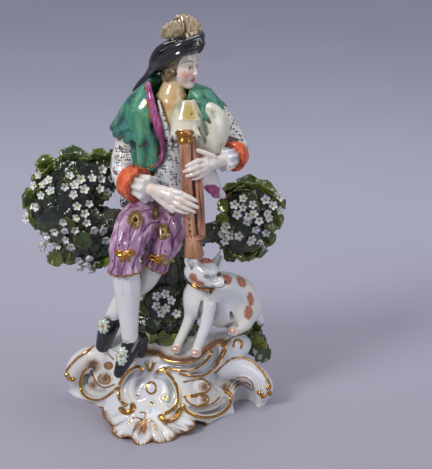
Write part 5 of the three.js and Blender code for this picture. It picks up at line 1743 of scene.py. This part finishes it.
def add_flower(spray, centre, normal, radius, random):
    """A star-shaped cup of five pointed petals round a small dome."""
    shares = np.array([0.0, 0.16, 0.3, 0.52, 0.78, 1.0])
    angles = np.linspace(0, 2 * math.pi, FLOWER_SPOKES, endpoint=False)
    turn = random.uniform(0, 6.3)
    grid_r, grid_a = np.meshgrid(shares, angles, indexing="ij")
    point = np.abs(np.cos(0.5 * PETALS * grid_a)) ** 0.8
    reach = radius * grid_r * (1 - (1 - point) * 0.38 * grid_r)
    dome = 0.16 * radius * np.exp(-((grid_r / 0.2) ** 2))
    cup = 0.62 * radius * grid_r**1.5
    crease = -0.1 * radius * grid_r * np.cos(PETALS * grid_a) * (grid_r < 0.95)
    z = cup + dome + crease - 0.25 * radius
    top = np.stack([reach * np.cos(grid_a + turn), reach * np.sin(grid_a + turn), z], axis=-1).reshape(-1, 3)
    under = np.stack([
        0.92 * reach * np.cos(grid_a + turn), 0.92 * reach * np.sin(grid_a + turn), z - 0.14 * radius - 0.45 * radius * (1 - grid_r)
    ], axis=-1).reshape(-1, 3)
    local = np.vstack([top, under])
    rows = frame_facing(normal, (0.13, 0.21, 0.97))
    points = np.asarray(centre, float) + local @ rows
    index = np.arange(len(shares) * FLOWER_SPOKES).reshape(len(shares), FLOWER_SPOKES)
    lift = len(shares) * FLOWER_SPOKES
    after = np.roll(index, -1, axis=1)
    quads = np.stack([index[:-1], index[1:], after[1:], after[:-1]], axis=-1).reshape(-1, 4)
    edge = np.stack([index[-1], index[-1] + lift, after[-1] + lift, after[-1]], axis=1)
    faces = np.vstack([quads, quads[:, ::-1] + lift, edge])
    spray.put(points, faces, out=np.tile(grid_r.reshape(-1), 2), petal=np.tile(point.reshape(-1), 2),
              tone=random.uniform(0, 1))


def lumps_front(lumps, x, z, side=-1):
    """The y of the lumps' surface at x and z, on the viewer's side or the far side."""
    best = None
    for (cx, cy, cz), (rx, ry, rz) in lumps:
        inside = 1 - ((x - cx) / rx) ** 2 - ((z - cz) / rz) ** 2
        if inside > 0:
            y = cy + side * ry * math.sqrt(inside)
            best = y if best is None else (min(best, y) if side < 0 else max(best, y))
    return lumps[0][0][1] if best is None else best


# Flower clusters as x, z and number, and leaves at the crowns' edges as x, z, length and width
LEFT_CLUSTERS = [
    (-67.1, 135.4, 6), (-48.2, 136.7, 6), (-33.1, 139.7, 5), (-25.8, 127.6, 3), (-42.9, 119.7, 6), (-74.5, 119.1, 3),
    (-54.9, 109.3, 5), (-32.7, 108.7, 4), (-65.3, 99.4, 4), (-42.7, 87.0, 6), (-55.9, 96.3, 1),
]
RIGHT_CLUSTERS = [
    (49.3, 122.7, 6), (66.8, 122.7, 5), (58.8, 114.8, 4), (41.8, 106.2, 4), (51.8, 108.7, 2), (59.5, 101.3, 4),
    (51.3, 98.2, 1), (36.5, 114.8, 2), (31.3, 106.8, 1),
]
LOW_CLUSTERS = [(2.6, 70.8, 5), (6, 63, 2)]
LEFT_LEAVES = [
    (-67.6, 150, 14, 13), (-50.6, 155, 18, 17), (-43.3, 152, 14, 11), (-33.5, 154, 15, 12), (-25, 154, 14, 9),
    (-79, 127, 15, 15), (-75.5, 113, 14, 14), (-60.4, 125.2, 15, 13), (-66.9, 109.9, 13, 12), (-36.9, 99, 15, 13),
    (-54.6, 87, 14, 12), (-34.8, 99.4, 13, 11), (-63.6, 86, 12, 10), (-73, 139, 12, 10), (-24, 112, 12, 10),
]
RIGHT_LEAVES = [
    (53.4, 137, 17, 18), (63.3, 134, 16, 16), (41.2, 133, 13, 13), (71.7, 113.6, 15, 14), (66.6, 99.4, 15, 12),
    (59.6, 91.3, 16, 13), (49.6, 88.8, 17, 12), (40.7, 88.8, 16, 11), (72.8, 124.0, 13, 10), (33, 104, 13, 11),
]


def crown(name, lumps, middle, clusters, rim_leaves, seed, extra_leaves):
    """The leaves and the flowers of one crown, which are two pieces."""
    random = np.random.default_rng(seed)
    leaves, flowers = Spray(), Spray()
    middle = np.array(middle, float)
    for x, z, length, width in rim_leaves:
        for side, share in ((-1, 1.0), (1, 0.9)):
            out = np.array([x - middle[0], 0, z - middle[2]])
            out = unit(out + (1e-3, 0, 1e-3))
            tip = np.array([x, middle[1] + side * 3.0, z])
            root = tip - out * length * 0.75
            root[1] = middle[1] + side * 2.5
            normal = (0.35 * out[0], side * 1.0, 0.35 * out[2] + 0.15)
            add_leaf(leaves, root, out + (0, side * 0.12, 0), normal, length * share, width * share, random, 0.12)
    placed = 0
    while placed < extra_leaves:
        centre, radii = lumps[random.integers(len(lumps))]
        direction = unit(random.normal(size=3) * (1, 0.9, 1))
        spot = np.array(centre) + direction * np.array(radii) * 0.96
        if any(np.linalg.norm((spot - c) / np.array(r)) < 0.9 for c, r in lumps if c != centre):
            continue
        outward = spot - middle
        upward = unit(np.array([outward[0], 0.25 * outward[1], outward[2]]) + random.normal(size=3) * 7)
        normal = unit(direction / np.array(radii)) + (0, 0.5 * np.sign(direction[1]), 0.2)
        size = random.uniform(9, 12.5)
        add_leaf(leaves, spot - upward * size * 0.3, upward, normal, size, size * random.uniform(0.7, 0.9), random, 0.2)
        placed += 1
    for x, z, number in clusters:
        for side in (-1, 1):
            for k in range(number):
                angle = 2 * math.pi * k / max(number - 1, 1) + x
                away = 0.0 if k == 0 and number > 3 else FLOWER_RADIUS * random.uniform(1.75, 2.15)
                fx, fz = x + away * math.cos(angle), z + away * math.sin(angle)
                y = lumps_front(lumps, fx, fz, side)
                lift = random.uniform(2.2, 4.4)
                out = np.array([fx - middle[0], 0, fz - middle[2]]) / 26
                normal = unit((out[0] * 0.8 + random.normal() * 0.25, side, out[2] * 0.8 + random.normal() * 0.25))
                add_flower(flowers, (fx, y + side * lift, fz), normal, FLOWER_RADIUS * random.uniform(0.88, 1.08), random)
    return (
        leaves.piece(name + "_leaves", LEAF_GLAZE),
        flowers.piece(name + "_flowers", FLOWER_GLAZE),
    )


def leaf_material():
    paint = Paint("leaf_glaze", 0.14)
    tone = paint.mark("tone")
    drift = paint.noise(5, 3, shift=1.0)
    mixed = paint.maths("ADD", paint.maths("MULTIPLY", tone, 0.55), paint.maths("MULTIPLY", drift, 0.6))
    colour = paint.over(enamel("34461d"), enamel("667426"), paint.rise(mixed, 0.38, 0.72))
    colour = paint.over(colour, enamel("8c8a2e"), paint.rise(mixed, 0.68, 0.9), 0.8)
    colour = paint.over(colour, enamel("1f4a24"), paint.rise(mixed, 0.38, 0.2), 0.8)
    colour = paint.over(colour, enamel("8a5a34"), paint.rise(paint.noise(3.2, 2, shift=14.0), 0.63, 0.74), 0.5)
    vein = paint.rise(paint.mark("across"), 0.14, 0.05)
    colour = paint.over(colour, enamel("2a3416"), vein, 0.6)
    # Painted shade: darker towards the root, where the leaf goes into the crown
    colour = paint.over(colour, enamel("2b3a1a"), paint.rise(paint.mark("along"), 0.35, 0.0), 0.75)
    # Painted highlight: lighter olive-yellow along the leaf edges
    colour = paint.over(colour, enamel("a09a4a"), paint.rise(paint.mark("across"), 0.86, 0.98), 0.35)
    return paint.finish(colour, None, None, paint.noise(1.6, 3, stretch=(1, 1, 2)), 0.25)


def flower_material():
    paint = Paint("flower_glaze", 0.2)
    out = paint.mark("out")
    colour = paint.over(enamel("e6e9ee"), enamel("f0efe6"), paint.rise(paint.noise(8, 2), 0.45, 0.6))
    colour = paint.over(colour, enamel("8d93bd"), paint.both(paint.rise(paint.mark("petal"), 0.4, 0.05),
                                                             paint.rise(out, 0.45, 0.8)), 0.85)
    colour = paint.over(colour, enamel("8088ad"), paint.rise(paint.noise(6, 2, shift=8.0), 0.6, 0.72), 0.55)
    colour = paint.over(colour, enamel("b9b04a"), paint.rise(out, 0.42, 0.28), 0.9)
    colour = paint.over(colour, enamel("3c3218"), paint.rise(out, 0.17, 0.1), 0.9)
    return paint.finish(colour, None, None, glaze_height(paint), 0.1)


LEAF_GLAZE = leaf_material()
FLOWER_GLAZE = flower_material()


def low_growth():
    """Leaves and flowers on the ground before the stump, and the leaf beside the far scroll."""
    random = np.random.default_rng(11)
    leaves, flowers = Spray(), Spray()
    for x, y, z, lean_x, lean_z, size in (
        (-2, -3, 45, 0.7, 0.5, 15), (-5, -4, 44, 0.1, 0.9, 11), (5, -3, 46, 0.9, 0.2, 12), (-4, -2, 52, 0.2, 1, 12),
        (4, -1, 56, 0.5, 0.9, 12), (-6, 0, 60, -0.3, 1, 11), (10, 1, 50, 0.9, 0.6, 11), (9, 2, 60, 0.7, 0.8, 11),
        (-1, -1, 66, -0.2, 1, 11), (7, 1, 72, 0.4, 1, 12), (-8, 2, 48, -0.6, 0.7, 10), (12, 3, 66, 0.8, 0.6, 10),
    ):
        add_leaf(leaves, (x, y, z), (lean_x, -0.35, lean_z), (0.1 - 0.4 * lean_x, -1, 0.5), size, size * 0.62, random, 0.2, 4)
    for k in range(14):
        angle = math.pi * (0.05 + 0.9 * k / 13)
        x, y = 5 + 17 * math.cos(angle), 15 + 15 * math.sin(angle)
        z = 44 + 9 * random.uniform(0, 1)
        out = (math.cos(angle), math.sin(angle), 0.9)
        add_leaf(leaves, (x, y, z), out, (math.cos(angle), math.sin(angle), 0.2), 13, 9, random, 0.25, 4)
    for x, y, z, up_x, up_z, length, width in (
        (46, 17, 38, 0.35, 1, 20, 14), (52, 16, 30, 0.8, 0.6, 16, 13), (52, 20, 36, 0.5, 1, 18, 13), (56, 17, 34, 0.5, -0.4, 14, 12),
    ):
        add_leaf(leaves, (x, y, z), (up_x, 0, up_z), (0.3, -1, 0.25), length, width, random, 0.1)
        add_leaf(leaves, (x, y + 5, z), (up_x, 0.2, up_z), (0.3, 1, 0.25), length, width, random, 0.1)
    for x, z, number in LOW_CLUSTERS:
        for k in range(number):
            angle = 2 * math.pi * k / number
            spot = (x + 4.6 * math.cos(angle), -3.5 + random.uniform(-1, 1), z + 5 * math.sin(angle))
            add_flower(flowers, spot, (0.2 + random.normal() * 0.2, -1, 0.2 + random.normal() * 0.2), FLOWER_RADIUS, random)
    return leaves.piece("low_leaves", LEAF_GLAZE), flowers.piece("low_flowers", FLOWER_GLAZE)


# Camera, floor and light
def studio():
    camera = bpy.data.objects.new("camera", bpy.data.cameras.new("camera"))
    camera.data.sensor_width = SENSOR
    camera.data.lens = CAMERA_LENS
    camera.location = CAMERA_PLACE
    camera.rotation_euler = (math.radians(90 - CAMERA_PITCH), 0, 0)
    bpy.context.scene.collection.objects.link(camera)
    bpy.context.scene.camera = camera

    floor_points = []
    depth = [(-2600, 0), (-600, 0), (900, 0), (1700, 0), (1900, 30), (2050, 120), (2140, 300), (2180, 2600)]
    for x in (-3000, 3000):
        floor_points += [(x, y, z) for y, z in depth]
    count = len(depth)
    quads = [(k, k + count, k + count + 1, k + 1) for k in range(count - 1)]
    floor = mesh_object("floor", floor_points, quads)
    paint = Paint("floor_paper", 0.55, 0.0)
    away = paint.noise(260, 2)
    tone = paint.over(enamel("cfcfe0"), enamel("c4c4d6"), away)
    behind = paint.nodes.new("ShaderNodeSeparateXYZ")
    paint.links.new(paint.place, behind.inputs[0])
    # Painted shade: the floor is darker towards the viewer, standing for the light falling off
    tone = paint.over(enamel("a3a1b0"), tone, paint.rise(behind.outputs["Y"], -0.25, 0.7))
    floor.data.materials.append(paint.finish(tone))

    for name, place, size, power, tint in (
        ("key", (-0.75, -0.75, 0.95), 0.45, 10, (1, 0.98, 0.95)),
        ("fill", (0.95, -0.6, 0.55), 0.7, 2.5, (0.95, 0.97, 1)),
        ("top", (0.1, 0.15, 1.2), 0.7, 4, (1, 1, 1)),
    ):
        light = bpy.data.lights.new(name, "AREA")
        light.shape = "DISK"
        light.size = size
        light.energy = power
        light.color = tint
        lamp = bpy.data.objects.new(name, light)
        lamp.location = place
        aim = Vector((0, 0, 0.1)) - Vector(place)
        lamp.rotation_euler = aim.to_track_quat("-Z", "Y").to_euler()
        bpy.context.scene.collection.objects.link(lamp)
    world = bpy.data.worlds.new("studio")
    world.use_nodes = True
    world.node_tree.nodes["Background"].inputs["Color"].default_value = (0.72, 0.73, 0.82, 1)
    world.node_tree.nodes["Background"].inputs["Strength"].default_value = 0.42
    bpy.context.scene.world = world
    bpy.context.scene.view_settings.view_transform = "Standard"


def build():
    """Every piece of the group, each of which stands for part of the one CAD node."""
    skin = hand_material()
    pieces = [
        clay_object("base", base_clay(), base_material(), base_marks),
        clay_object("torso", torso_clay(), torso_material(), torso_marks),
        clay_object("legs", legs_clay(), legs_material(), legs_marks),
        clay_object("near_hand", hand_clay(NEAR_PALM, NEAR_FINGERS, NEAR_THUMB), skin),
        clay_object("far_hand", hand_clay(FAR_PALM, FAR_FINGERS, FAR_THUMB), skin),
        clay_object("head", head_clay(), head_material(), head_marks, from_head),
        clay_object("cap", hat_clay(), hat_material()),
        clay_object("bag", bag_clay(), bag_material(), bag_marks),
        clay_object("pipes", pipes_clay(), pipes_material(), pipes_marks),
        clay_object("dog", dog_clay(), dog_material(), dog_marks),
        clay_object("stump", stump_clay(), stump_material()),
        *crown("left", LEFT_LUMPS, LEFT_MIDDLE, LEFT_CLUSTERS, LEFT_LEAVES, 5, 60),
        *crown("right", RIGHT_LUMPS, RIGHT_MIDDLE, RIGHT_CLUSTERS, RIGHT_LEAVES, 6, 40),
        *low_growth(),
    ]
    for piece in pieces:
        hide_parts(NODE)


studio()
build()
